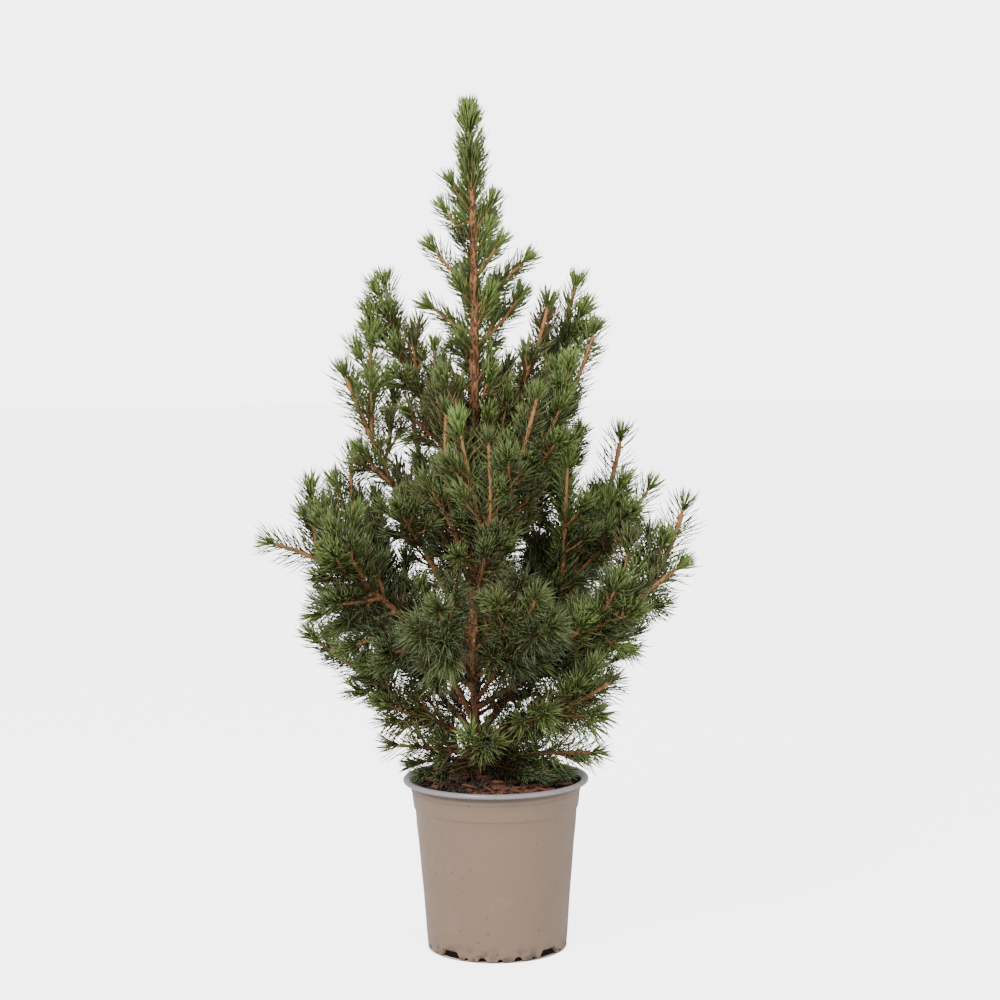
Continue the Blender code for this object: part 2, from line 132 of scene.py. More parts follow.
def least_along(way):
    """A helper for each way that is never parallel to it: a tilted upright, or a tilted level for steep ways."""
    steep = np.abs(way[..., 2:3]) > 0.8
    return np.where(steep, np.array((0.94, 0.31, 0.13)), np.array((0.13, 0.31, 0.94)))


def circle(count):
    return np.linspace(0, CIRCLE, count, endpoint=False)


def ripple(points, size, seed, waves=16):
    """Smooth noise of about unit spread: a sum of sine waves of about this size in seeded directions."""
    rng = np.random.default_rng(seed)
    ways = unit(rng.normal(size=(waves, 3))) * rng.uniform(0.6, 1.7, (waves, 1)) * (CIRCLE / size)
    total = np.zeros(points.shape[:-1])
    for way, phase in zip(ways, rng.uniform(0, CIRCLE, waves)):
        total += np.sin(points @ way + phase)
    return total * math.sqrt(2 / waves)


def ease(low, high, values):
    """0 below low, 1 above high, and a smooth S between them."""
    share = np.clip((values - low) / (high - low), 0.0, 1.0)
    return share * share * (3 - 2 * share)


def interpolated(value, places, columns):
    """The columns of an array, each interpolated between its rows' places."""
    return np.stack([np.interp(value, places, column) for column in columns.T], axis=-1)


def walked_along(points):
    """How far along the line each point lies."""
    return np.concatenate(([0.0], np.cumsum(np.linalg.norm(np.diff(points, axis=0), axis=1))))


def make_piece(name, surface, materials, tones=None, smooth=True, **values):
    """A mesh object at the origin from whole arrays: its points, quads and triangles, a material number for each
    face and named values for each point."""
    points, quads, triangles = surface
    quads, triangles = quads.reshape(-1, 4), triangles.reshape(-1, 3)
    if len(triangles) + 2 * len(quads) >= MOST_TRIANGLES:
        raise RuntimeError(f"{name} has more than the {MOST_TRIANGLES} triangles that a piece may have")
    corners = np.concatenate((triangles.ravel(), quads.ravel())).astype(np.int32)
    starts = np.concatenate((np.arange(0, triangles.size, 3), np.arange(triangles.size, len(corners), 4)))
    mesh = bpy.data.meshes.new(name)
    mesh.vertices.add(points.size // 3)
    mesh.vertices.foreach_set("co", points.astype(np.float32).ravel())
    mesh.loops.add(len(corners))
    mesh.loops.foreach_set("vertex_index", corners)
    mesh.polygons.add(len(starts))
    mesh.polygons.foreach_set("loop_start", starts.astype(np.int32))
    if tones is not None:
        mesh.polygons.foreach_set("material_index", tones.astype(np.int32))
    mesh.update(calc_edges=True)
    for key, value in values.items():
        mesh.attributes.new(key, "FLOAT", "POINT").data.foreach_set("value", value.astype(np.float32).ravel())
    if smooth:
        mesh.shade_smooth()
    piece = bpy.data.objects.new(name, mesh)
    bpy.context.scene.collection.objects.link(piece)
    for material in materials:
        mesh.materials.append(material)
    return piece


def add_part(name, slot, nodes, *surface_and_materials, **more):
    """A piece that rides on the plant and stands for the nodes; the slot is not used."""
    piece = make_piece(name, *surface_and_materials, **more)
    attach(piece, "root")
    if nodes:
        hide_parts(*nodes)
    return {"FINISHED"}


def ring_faces(count, rings, sides):
    """Quads between the rings of count tubes, and triangles from their two end poles. A tube's points are its
    rings in order, then its two poles."""
    ring, side = np.meshgrid(np.arange(rings - 1), np.arange(sides), indexing="ij")
    after = (side + 1) % sides
    quads = np.stack((ring * sides + side, ring * sides + after,
                      (ring + 1) * sides + after, (ring + 1) * sides + side), axis=-1).reshape(-1, 4)
    edge = np.arange(sides)
    after = (edge + 1) % sides
    last = (rings - 1) * sides
    start = np.stack((np.full(sides, rings * sides), after, edge), axis=-1)
    end = np.stack((np.full(sides, rings * sides + 1), last + edge, last + after), axis=-1)
    shift = np.arange(count)[:, None, None] * (rings * sides + 2)
    return quads[None] + shift, np.concatenate((start, end))[None] + shift


def tubes(lines, radii, sides, helper):
    """Closed tubes: at each point of each line a ring of the given radii in the plane across the line."""
    side, over = across(unit(np.gradient(lines, axis=1)), helper[:, None, :])
    turn = circle(sides)
    out = np.cos(turn)[:, None] * side[:, :, None, :] + np.sin(turn)[:, None] * over[:, :, None, :]
    count, length = lines.shape[:2]
    rings = lines[:, :, None, :] + np.broadcast_to(radii, (count, length, sides))[..., None] * out
    points = np.concatenate((rings.reshape(count, -1, 3), lines[:, :1], lines[:, -1:]), axis=1)
    return points, *ring_faces(count, length, sides)


def turned(profile, angles, move):
    """A closed surface of revolution from a profile of (radius, height) that starts and ends on the axis.
    move shifts the grid of points, (profile, angle, 3)."""
    radius, height = profile[1:-1, :1], profile[1:-1, 1:]
    grid = move(np.stack((radius * np.cos(angles), radius * np.sin(angles), height + 0 * angles), axis=-1))
    poles = np.zeros((2, 3))
    poles[:, 2] = profile[[0, -1], 1]
    return np.concatenate((grid.reshape(-1, 3), poles)), *ring_faces(1, len(radius), len(angles))


# Reading the solids ---------------------------------------------------------------------------------------


def corners_of(node):
    """The node's corners, each once, and how many triangles meet at each."""
    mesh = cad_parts[node].data
    points = np.empty(len(mesh.vertices) * 3, np.float32)
    mesh.vertices.foreach_get("co", points)
    used = np.empty(len(mesh.loops), np.int32)
    mesh.loops.foreach_get("vertex_index", used)
    corners = points.reshape(-1, 3)[used].astype(float)
    _, first, meeting = np.unique(np.round(corners * 1e5).astype(np.int64), axis=0, return_index=True,
                                  return_counts=True)
    return corners[first], meeting


def middles(points, way, count):
    """The points sorted along the way and parted into count rings: each ring's middle and mean radius."""
    rings = np.array_split(points[np.argsort(points @ way)], count)
    centres = np.array([ring.mean(axis=0) for ring in rings])
    radii = np.array([np.linalg.norm(ring - centre, axis=1).mean() for ring, centre in zip(rings, centres)])
    return centres, radii


TRUNK_SIDES = 12


@functools.cache
def trunk_course():
    """Heights, middles and radii of the trunk's rings."""
    points, _ = corners_of("trunk")
    centres, radii = middles(points, UP, len(points) // TRUNK_SIDES)
    return centres[:, 2], centres, radii


def trunk_at(height):
    return interpolated(height, *trunk_course()[:2])


def trunk_radius(height):
    heights, _, radii = trunk_course()
    return np.interp(height, heights, radii)


LIMB_POINTS = 96
EVEN = np.linspace(0.0, 1.0, LIMB_POINTS)
TUFT_REACH = 0.0085  # of the needles beyond the wood that bears them
VEILED = ("low_front", "low_back", "low_left_under", "low_right_under")  # boughs whose undersides are clothed too
BOUGH_RINGS = 7
MASS_RINGS = 9
SHOOT_RINGS = 6


class Limb:
    """A limb's course, evenly spaced from the trunk's middle to its tip, with its radius, the share of it that
    is bare and the girth of its foliage."""

    def __init__(self, name):
        self.name = name
        self.nodes = [f"foliage_{name}"]
        points, meeting = corners_of(self.nodes[0])
        poles = np.argsort(meeting)[-2:]
        from_trunk = np.linalg.norm(points[poles] - trunk_at(points[poles][:, 2]), axis=1)
        start, tip = points[poles[np.argsort(from_trunk)]]
        rings = SHOOT_RINGS if name.startswith(("foot_", "crown_")) else MASS_RINGS
        centres, self.girths = middles(np.delete(points, poles, axis=0), unit(tip - start), rings)
        self.bough = f"bough_{name}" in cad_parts
        stem = [start]
        if self.bough:
            self.nodes.append(f"bough_{name}")
            wood, _ = corners_of(self.nodes[1])
            wood_rings, wood_radii = middles(wood, unit(start - trunk_at(wood[:, 2].min())), BOUGH_RINGS)
            stem = [*wood_rings, start]
        self.radius = wood_radii[0] if self.bough else 0.0013 + 0.0065 * np.linalg.norm(tip - start)
        first = unit(stem[1] - stem[0] if self.bough else centres[0] - start)
        away = np.linalg.norm((stem[0] - trunk_at(stem[0][2]))[:2])
        foot = stem[0] - first * away / max(np.linalg.norm(first[:2]), 0.35)
        knots = np.array([foot, *stem, *centres, tip - unit(tip - centres[-1]) * TUFT_REACH])
        weights = np.array([1.0, *[3.0] * len(stem), *[0.35] * len(centres), 6.0])
        self.course = self.smoothed(knots, weights)
        self.length = np.linalg.norm(np.diff(self.course, axis=0), axis=1).sum()
        self.bare = float(np.argmin(np.linalg.norm(self.course - start, axis=1))) / (LIMB_POINTS - 1)
        self.tier = next(index for index, starts in enumerate(TIERS.values()) if name.startswith(starts))
        self.veiled = name.startswith(VEILED)

    @staticmethod
    def smoothed(knots, weights):
        """A cubic through the knots by least squares, respaced evenly."""
        walked = walked_along(knots)
        curve = np.polyfit(walked / walked[-1], knots, 3, w=weights)
        fine = np.linspace(0.0, 1.0, 4 * LIMB_POINTS)[:, None]
        points = sum(curve[power] * fine ** (3 - power) for power in range(4))
        walked = walked_along(points)
        return interpolated(EVEN, walked / walked[-1], points)

    def at(self, share):
        return interpolated(share, EVEN, self.course)

    def heading(self, share):
        after = np.minimum(share + 0.01, 1.0)
        return unit(self.at(after) - self.at(after - 0.02))

    def girth(self, share):
        """The foliage's mean radius at a share of the whole limb."""
        rings = len(self.girths)
        return np.interp(share, self.bare + (1 - self.bare) * (np.arange(rings) + 1) / (rings + 1), self.girths)

    def wood_radius(self, share):
        """The wood tapers evenly to two thirds of its radius, and within its last stretch to a bud."""
        bud = np.sqrt(np.clip((1 - share) * self.length / 0.006, 0.03, 1.0))
        return 0.86 * self.radius * (1 - 0.34 * share) * bud


@functools.cache
def limbs():
    names = sorted(node[len("foliage_"):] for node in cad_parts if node.startswith("foliage_"))
    return [Limb(name) for name in names if name != "leader"]


# The branching rule ---------------------------------------------------------------------------------------

SPACING = 0.0057  # between side shoots along a limb
TIP_BRUSH = 0.062  # a limb's last stretch, with hardly a side shoot
STRETCH = 0.008  # of a limb, as one row of the table
CLOTHED_FOOT = 0.32  # of a bough is clothed on its underside as well
TWIG_RADIUS = 0.00124
TUFT = 0.011  # the close needles that end a shoot

# A needle's length, needles for each metre of shoot, and their angle from the shoot in degrees
NEEDLES_OF_TIER = {
    CROWN: (0.0160, 4000, 44),
    UPPER: (0.0162, 2500, 54),
    MIDDLE_LEFT: (0.0172, 2250, 57),
    MIDDLE_RIGHT: (0.0172, 2250, 57),
    LOW_LEFT: (0.0186, 2080, 62),
    LOW_BACK: (0.0186, 2050, 62),
    LOW_RIGHT: (0.0186, 2080, 62),
    FOOT: (0.0190, 2200, 62),
}

# Long side shoots that stand out from the rest: their limb, then place along it and tip for each
LONG_SIDE_SHOOTS = (
    ("low_left", (0.63, -0.121, -0.025, 0.319), (0.83, -0.125, -0.026, 0.335), (0.57, -0.119, -0.045, 0.248),
     (0.32, -0.080, -0.045, 0.216), (0.71, -0.110, -0.056, 0.289)),
    ("low_left_under", (0.86, -0.136, 0.008, 0.226), (0.51, -0.094, -0.021, 0.209),
     (0.33, -0.087, -0.012, 0.178)),
    ("middle_left", (0.55, -0.103, -0.001, 0.301), (0.66, -0.116, 0.042, 0.333)),
    ("middle_left_upper", (0.76, -0.084, 0.005, 0.441), (0.59, -0.097, -0.009, 0.357),
     (0.37, -0.067, -0.037, 0.317)),
    ("upper_left", (0.70, -0.085, 0.017, 0.472), (0.51, -0.071, -0.012, 0.409), (0.28, -0.064, -0.017, 0.382)),
    ("middle_front_right", (0.48, 0.010, -0.061, 0.355)),
    ("middle_front_left", (0.12, -0.024, -0.049, 0.280)),
    ("middle_front", (0.11, -0.004, -0.052, 0.290)),
    ("middle_front_right", (0.16, 0.004, -0.050, 0.300)),
    ("low_front_left", (0.22, -0.023, -0.057, 0.239)),
    ("low_front_right", (0.37, -0.009, -0.067, 0.258), (0.51, 0.041, -0.076, 0.245)),
    ("upper_right_outer", (0.62, 0.055, -0.033, 0.419)),
    ("low_right_inner", (0.54, 0.051, 0.022, 0.339), (0.68, 0.095, 0.005, 0.334)),
    ("upper_right", (0.76, 0.072, 0.031, 0.456)),
    ("upper_right_outer", (0.38, 0.050, -0.042, 0.364)),
    ("low_right", (0.54, 0.094, -0.033, 0.298), (0.46, 0.073, -0.050, 0.258), (0.67, 0.121, -0.038, 0.245)),
    ("low_right_under", (0.58, 0.072, -0.061, 0.212)),
    ("low_right_outer", (0.60, 0.098, -0.052, 0.212), (0.42, 0.064, -0.064, 0.243)),
    ("middle_right", (0.62, 0.102, -0.005, 0.313)),
    ("middle_right_rear", (0.53, 0.066, 0.041, 0.367)),
    ("middle_front", (0.40, -0.025, -0.045, 0.380)),
    ("upper_right_outer", (0.28, 0.054, -0.035, 0.394)),
    ("middle_right", (0.45, 0.052, -0.020, 0.356)),
    ("middle_front_left", (0.30, -0.048, -0.030, 0.337)),
    ("middle_front_right", (0.28, 0.005, -0.050, 0.333)),
    ("low_back_right", (0.45, 0.041, 0.030, 0.284)),
    ("low_right_inner", (0.35, 0.031, 0.018, 0.290)),
    ("middle_left", (0.35, -0.062, 0.030, 0.280), (0.50, -0.083, 0.020, 0.325)),
    ("middle_front_right", (0.30, 0.036, -0.020, 0.330)),
    ("middle_right_rear", (0.28, 0.046, 0.010, 0.335)),
    ("low_back_right", (0.60, 0.024, 0.050, 0.325)),
    ("foot_left", (0.45, -0.056, 0.020, 0.168)),
    ("low_left", (0.60, -0.130, -0.030, 0.236), (0.45, -0.108, -0.040, 0.214), (0.36, -0.095, -0.020, 0.200),
     (0.50, -0.120, -0.010, 0.222)),
    ("middle_left", (0.16, -0.0517, 0.000, 0.263)),
    ("low_left", (0.20, -0.0455, -0.010, 0.2485)),
)


def rows(count, **fields):
    table = np.zeros(count, SHOOT)
    for key, value in fields.items():
        table[key] = value
    return table


def point_on(table, share):
    return table["base"] + table["length"][:, None] * (
        table["way"] * share[:, None] + table["bend"] * share[:, None] ** 2 / 2)


def heading_on(table, share):
    return unit(table["way"] + table["bend"] * share[:, None])


def chain(points, radii, **fields):
    """Short straight rows from point to point, each with the length of stem beyond it."""
    steps = np.diff(points, axis=0)
    lengths = np.linalg.norm(steps, axis=1)
    left = np.concatenate((np.cumsum(lengths[::-1])[::-1][1:], [0.0]))
    return rows(len(steps), base=points[:-1], way=unit(steps), length=lengths, left=left, radius=radii[:-1],
                **fields)


def limb_stretches(limb):
    """The clothed part of a limb."""
    start = limb.bare * 0.28 if limb.bough else max(limb.bare, 0.12)
    shares = np.linspace(start, 1.0, max(2, round((1 - start) * limb.length / STRETCH)) + 1)
    foot = limb.bough & (shares[:-1] < CLOTHED_FOOT)
    return chain(limb.at(shares), limb.wood_radius(shares), tier=limb.tier, veiled=foot | limb.veiled, foot=foot,
                 shown=True)


def side_ways(heading, angle, turn):
    """Directions at an angle from the heading, turned round it."""
    return unit(np.cos(angle)[:, None] * heading + np.sin(angle)[:, None] * round_way(heading, turn))


def onward(way, heading):
    """What takes a way towards the heading: the heading less its part along the way."""
    return heading - (heading * way).sum(axis=1, keepdims=True) * way


LONG_SHARE = 0.52  # of the side shoots are long ones
UNDER_SHOOTS_BARE = 0.85  # of the side shoots straight below a steep limb are missing


def below(out, heading):
    """How far a direction across the heading points down: 1 straight below, -1 straight above; near 0 all round
    an upright shoot."""
    above = UP - heading * heading[:, 2:3]
    return -(out * above).sum(axis=1) / np.maximum(np.linalg.norm(above, axis=1), 0.3)


def side_shoots(base, way, bend, length, thickness, **fields):
    """Rows with wood of their own, which is thicker the longer they are."""
    return rows(len(base), base=base, way=way, bend=bend, length=length, twig=True,
                radius=TWIG_RADIUS * (thickness[0] + thickness[1] * length), **fields)


def limb_side_shoots(limb, rng):
    """Side shoots round a limb by the golden angle, crowded at the ends of each year's growth. Long ones leave
    at a narrow angle and run on beside the limb; short ones fill the foliage's girth. None overtakes its tip."""
    brush = min(TIP_BRUSH, 0.42 * limb.length * (1 - limb.bare))
    start = 0.65 * limb.bare + 0.02
    end = 1 - brush / limb.length
    count = max(0, round((end - start) * limb.length / SPACING))
    if not count:
        return rows(0)
    shares = np.sort(rng.uniform(start, end, count))
    years = np.array((end, start + 0.45 * (end - start)))
    apart = shares[:, None] - years
    pull = 0.55 * np.exp(-((apart * limb.length / 0.018) ** 2)).max(axis=1)
    shares += (years[np.abs(apart).argmin(axis=1)] - shares) * pull
    heading = limb.heading(shares)
    turn = np.arange(count) * GOLDEN_ANGLE + rng.uniform(0, CIRCLE) + rng.normal(0, 0.3, count)
    long = rng.uniform(0, 1, count) < LONG_SHARE
    angle = np.radians(np.where(long, rng.uniform(27, 43, count), rng.uniform(38, 60, count)))
    way = side_ways(heading, angle, turn)
    under = below((way - heading * np.cos(angle)[:, None]) / np.sin(angle)[:, None], heading)
    steep = ease(0.50, 0.80, heading[:, 2]) * (not limb.veiled)
    kept = rng.uniform(0, 1, count) > UNDER_SHOOTS_BARE * steep * ease(0.0, 0.7, under)
    reach = np.maximum(limb.girth(shares) - 0.003, 0.006) / np.sin(angle)
    reach *= np.where(long, rng.uniform(0.95, 1.5, count), rng.uniform(0.5, 0.95, count))
    length = np.minimum(reach, np.where(long, 0.92, 0.8) * (1 - shares) * limb.length)
    return side_shoots(limb.at(shares), way, 0.38 * onward(way, heading) + 0.22 * UP,
                       np.clip(length, 0.010, 0.085), (0.75, 7.0), tier=limb.tier, veiled=limb.veiled)[kept]


def long_side_shoots():
    """The side shoots of the list, each an arc that leaves its limb low and rises to its tip."""
    by_name = {limb.name: limb for limb in limbs()}
    listed = [(by_name[name], *place) for name, *places in LONG_SIDE_SHOOTS for place in places]
    base = np.array([limb.at(share) for limb, share, *_ in listed])
    chord = np.array([tip for _, _, *tip in listed]) - base
    length = np.linalg.norm(chord, axis=1)
    chord *= (1 - TUFT_REACH / length)[:, None]
    length -= TUFT_REACH
    way = chord / length[:, None] - 0.16 * UP
    return side_shoots(base, way, 2 * (chord / length[:, None] - way), length, (0.95, 6.0),
                       tier=[limb.tier for limb, *_ in listed], tone=0.9, shown=True)


def twig_side_shoots(parents, rng):
    """Shoots on the longer side shoots, left and right by turns. The longest carry none near their tips."""
    number = np.clip(np.floor(parents["length"] / 0.0105).astype(int) - 1, 0, 5)
    owner, order = counted(number)
    table = parents[owner]
    count = len(owner)
    share = 0.12 + 0.5 * (order + rng.uniform(0.2, 0.8, count)) / number[owner]
    heading = heading_on(table, share)
    turn = order * np.pi + rng.normal(0, 0.8, count)
    way = side_ways(heading, np.radians(rng.uniform(35, 56, count)), turn)
    length = np.clip((1 - share) * table["length"] * rng.uniform(0.4, 0.85, count), 0.008, 0.030)
    return side_shoots(point_on(table, share), way, 0.35 * onward(way, heading) + 0.15 * UP, length, (0.65, 6.0),
                       tier=table["tier"], veiled=table["veiled"])


def counted(number):
    """For as many things as the numbers say: the place of the owner, and the thing's place among the owner's."""
    owner = np.repeat(np.arange(len(number)), number)
    return owner, np.arange(len(owner)) - (np.cumsum(number) - number)[owner]


# Shoots straight from the trunk: height, space between them, length, rise above the level in degrees
TRUNK_SHOOTS = np.array((
    (0.134, 0.0052, 0.040, 22),
    (0.165, 0.0058, 0.052, 30),
    (0.210, 0.0060, 0.060, 40),
    (0.340, 0.0058, 0.056, 46),
    (0.395, 0.0072, 0.022, 50),
    (0.450, 0.0074, 0.015, 54),
    (0.515, 0.0050, 0.013, 58),
    (0.549, 0.0040, 0.011, 55),
))
CROWN_FROM, UPPER_FROM, MIDDLE_FROM = 0.40, 0.30, 0.185  # heights of the tiers on the trunk


def trunk_shoots(rng):
    """Shoots straight from the trunk, round it by the golden angle, spaced and sized by the list."""
    places = np.linspace(TRUNK_SHOOTS[0, 0], TRUNK_SHOOTS[-1, 0], 800)
    walked = np.cumsum(np.gradient(places) / np.interp(places, *TRUNK_SHOOTS[:, :2].T))
    count = int(walked[-1])
    heights = np.interp(np.arange(count) + rng.uniform(-0.3, 0.3, count), walked, places)
    turn = np.arange(count) * GOLDEN_ANGLE + 1.0
    level = np.stack((np.cos(turn), np.sin(turn), 0 * turn), axis=1)
    _, length, rise = interpolated(heights, TRUNK_SHOOTS[:, 0], TRUNK_SHOOTS[:, 1:]).T
    rise = np.radians(rise + rng.uniform(-12, 12, count))
    way = unit(np.cos(rise)[:, None] * level + np.sin(rise)[:, None] * UP)
    length = length * rng.uniform(0.6, 1.3, count)
    high = ease(0.38, 0.42, heights) * ease(0.53, 0.49, heights)  # where no bough leads back or forward
    length *= 1 + high * (1.3 * ease(0.45, 0.85, level[:, 1]) + 0.6 * ease(0.45, 0.85, -level[:, 1]))
    base = trunk_at(heights) + level * trunk_radius(heights)[:, None] * 0.8
    left = level[:, 0] < 0
    tier = np.select((heights > CROWN_FROM, heights > UPPER_FROM, heights > MIDDLE_FROM, level[:, 1] > 0.5, left),
                     (CROWN, UPPER, np.where(left, MIDDLE_LEFT, MIDDLE_RIGHT), LOW_BACK, LOW_LEFT), LOW_RIGHT)
    table = side_shoots(base, way, 0.35 * UP, length, (0.55, 6.0), tier=tier)
    return table[(heights > FRONT_BARE[0][1]) | (level[:, 1] > -0.15)]


# Sprigs that lie over the soil and the rim: the height at which they leave the trunk, and their tip
SPRIGS = np.array((
    (0.131, -0.067, -0.010, 0.130),
    (0.128, -0.058, -0.030, 0.126),
    (0.126, -0.041, -0.045, 0.127),
    (0.127, 0.026, -0.040, 0.127),
    (0.129, 0.038, -0.040, 0.126),
    (0.130, 0.054, -0.030, 0.127),
    (0.134, 0.067, -0.010, 0.134),
    (0.127, 0.045, 0.010, 0.126),
    (0.128, -0.047, 0.025, 0.127),
    (0.130, 0.012, 0.055, 0.130),
    (0.131, -0.020, 0.052, 0.128),
))


def sprigs():
    """Low shoots of the list, each an arc that sags to its tip."""
    foot = trunk_at(SPRIGS[:, 0])
    chord = SPRIGS[:, 1:] - foot
    way = unit(chord) + 0.14 * UP
    return rows(len(foot), base=foot, way=way, bend=2 * (unit(chord) - way),
                length=np.linalg.norm(chord, axis=1) - TUFT_REACH, twig=True, tier=FOOT, radius=TWIG_RADIUS,
                needle=0.0150, density=1000, spread=math.radians(58), tone=0.9)


# Heights between which hardly a needle crosses the trunk in front: from, to, half width
FRONT_BARE = ((0.160, 0.236, 0.0065), (0.236, 0.300, 0.0032), (0.362, 0.532, 0.0042))


def before_trunk(points):
    """Whether points lie in front of the trunk's bare stretches."""
    height = points[:, 2]
    aside, depth, _ = (points - trunk_at(height)).T
    inside = [(height > low) & (height < high) & (np.abs(aside) < half) for low, high, half in FRONT_BARE]
    return (depth < 0) & np.logical_or.reduce(inside)


TRUNK_CLOTHED_FROM = 0.150

# The needles on the trunk itself: height, needles for each metre
TRUNK_NEEDLES = np.array(((0.150, 220), (0.380, 420), (0.420, 1600), (0.500, 2300), (0.520, 3600), (0.531, 8000),
                          (0.551, 9500), (0.555, 2200), (0.560, 2600), (0.562, 17500), (0.580, 18500)))


def trunk_stretches():
    """The trunk's own needles: very few low down, more towards the top, and the leader's dense brush."""
    top = trunk_course()[0][-1]
    heights = np.linspace(TRUNK_CLOTHED_FROM, top, round((top - TRUNK_CLOTHED_FROM) / STRETCH) + 1)
    low = heights[:-1]
    high = ease(0.53, 0.57, low)
    return chain(trunk_at(heights), trunk_radius(heights), needle=0.0170 - 0.0030 * ease(0.562, 0.576, low),
                 density=np.interp(low, *TRUNK_NEEDLES.T), spread=np.radians(46 + 4 * high),
                 tone=3.6 + 1.4 * high,
                 tier=np.select((low > CROWN_FROM, low > UPPER_FROM), (CROWN, UPPER), MIDDLE_LEFT))


LEADER_TUFT = 0.565  # height above which a tuft points straight up
BASE_HEIGHT = 0.17  # below it the tufts are paler than their shoots by less


def tufts(table, rng):
    """A tuft at the end of each shoot: close needles that fan forward round its bud."""
    depth = np.minimum(TUFT, 0.5 * table["length"])
    share = 1 - depth / table["length"]
    tuft = table.copy()
    tuft["base"], tuft["way"], tuft["bend"], tuft["length"] = (
        point_on(table, share), heading_on(table, share), 0, depth * 1.1)
    tuft["radius"], tuft["left"], tuft["fan"], tuft["twig"], tuft["foot"], tuft["shown"] = (
        0.0005, 1.0, True, False, False, False)
    veiled = table["veiled"]
    kinds = ((table["base"][:, 2] > LEADER_TUFT) & ~table["twig"], table["tier"] == CROWN, veiled)
    tuft["needle"] *= np.select(kinds, (0.62, 0.84, 0.95), 0.76)
    tuft["spread"] = np.radians(np.select(kinds[::2], (24, 58), 36))
    small = np.interp(table["length"], (0.008, 0.030, 0.060), (2100, 3800, 6600)) * np.where(veiled, 0.7, 1)
    tuft["density"] = np.where(table["twig"], small, np.select(kinds, (13500, 7800, 4600), 6800))
    tone = np.where(tuft["tone"] >= WORN, 1.5, tuft["tone"])
    brighter = np.where(veiled | (table["base"][:, 2] < BASE_HEIGHT), 1.0, 1.4)
    tuft["tone"] = np.clip(tone + rng.normal(brighter, 0.5), 0, WORN - 1)
    return tuft


DRY_SHARE = 0.06  # of the sprays inside the crown have died
WORN_SHARE = (0.38, 0.00)  # of the sprays near the trunk and of those at the outline are worn brown


def crown_share(points):
    """How far out a point lies: 0 at the trunk, 1 at the crown's outline at that height."""
    heights = (0.13, 0.20, 0.28, 0.38, 0.47, 0.56)
    outline = (0.070, 0.120, 0.140, 0.105, 0.065, 0.025)
    away = np.linalg.norm((points - trunk_at(points[:, 2]))[:, :2], axis=1)
    return np.clip(away / np.interp(points[:, 2], heights, outline), 0, 1.2)


def dress(table, rng):
    """Needle size, number, spread and tone of each row, where they aren't set yet."""
    count = len(table)
    needle, density, spread = np.array([NEEDLES_OF_TIER[tier] for tier in table["tier"]]).T
    needle = needle * rng.uniform(0.9, 1.1, count)
    spread = np.radians(spread) * rng.uniform(0.9, 1.1, count)
    out = crown_share(point_on(table, np.ones(count)))
    height, tier, twig = table["base"][:, 2], table["tier"], table["twig"]
    # A row's tone: lower towards the trunk and on veiled rows, as painted shade; higher towards the outline and
    # the top, partly as younger growth and partly as painted light.
    tone = 1.15 + 1.1 * out + 2.3 * (height - 0.2) / 0.4 + rng.normal(0, 0.7, count)
    tone += table["tone"] + 1.3 * (tier == FOOT) + 0.5 * (tier == CROWN)
    tone -= 0.2 * table["veiled"]
    tone += 0.9 * ease(0.20, 0.15, height)
    dead = (out < 0.7) & (rng.uniform(0, 1, count) < DRY_SHARE) & (tier > CROWN) & ~twig
    low = ease(0.21, 0.15, height)
    worn = (rng.uniform(0, 1, count) < np.interp(out, (0.3, 0.9), WORN_SHARE) + 0.22 * low) & (tier > CROWN)
    tone = np.where(dead, DRY, np.where(worn, WORN, np.clip(tone, 0, WORN - 1)))
    density *= np.where(twig, 0.54 + 0.60 * ease(0.3, 0.85, out), 0.66 + 0.72 * ease(0.3, 0.8, out))
    density = np.where(table["foot"], 1.25 * density, density * (1 - 0.35 * low))
    density *= np.where(twig & table["shown"], 1.4, 1)
    plain = table["needle"] == 0
    for key, value in (("needle", needle), ("density", density), ("spread", spread), ("tone", tone)):
        table[key] = np.where(plain, value, table[key])
    return table


NEEDLE_REACH = 0.0145  # of needles beyond the box round the solids


def within_solids_box(points, margin):
    low, high = np.array(SOLIDS_BOX)
    return np.all((points > low - margin) & (points < high + margin), axis=-1)


@functools.cache
def growth(seed):
    """Every shoot of the plant as one table."""
    rng = np.random.default_rng(seed)
    sides = [trunk_shoots(rng), long_side_shoots(), sprigs()]
    for limb in limbs():
        crown = limb.name.startswith("crown_")
        if not crown or limb.length > 0.045:
            sides.append(limb_side_shoots(limb, rng)[:: 2 if crown else 1])
    sides = np.concatenate(sides)
    wood = np.concatenate((sides, twig_side_shoots(sides[sides["needle"] == 0], rng)))
    middle, tip = (point_on(wood, np.full(len(wood), share)) for share in (0.5, 1.0))
    wood = wood[~before_trunk(middle) & ~before_trunk(tip) & within_solids_box(tip, 0.0)]
    table = dress(np.concatenate([*map(limb_stretches, limbs()), trunk_stretches(), wood]), rng)
    return np.concatenate((table, tufts(table[table["twig"] | (table["left"] == 0)], rng)))


# Needles --------------------------------------------------------------------------------------------------

NEEDLE_WIDTH = 0.00038  # from its middle line to its edge
WORN, DRY = 7, 8  # the tones of worn and of dead sprays, past the palette's greens
UNDER_BARE = (0.55, 0.98)  # of the needles straight below a shoot are missing, the least and the most
SHOWN_BARE = 0.68  # of the needles in front of a shown shoot are missing
FRONT_KEPT = 0.25  # of the needles before the trunk's bare stretches
NEEDLE_QUADS = np.array(((0, 1, 4, 3), (1, 2, 5, 4), (2, 0, 3, 5)))
NEEDLE_TRIANGLES = np.array(((0, 2, 1), (3, 4, 6), (4, 5, 6), (5, 3, 6)))


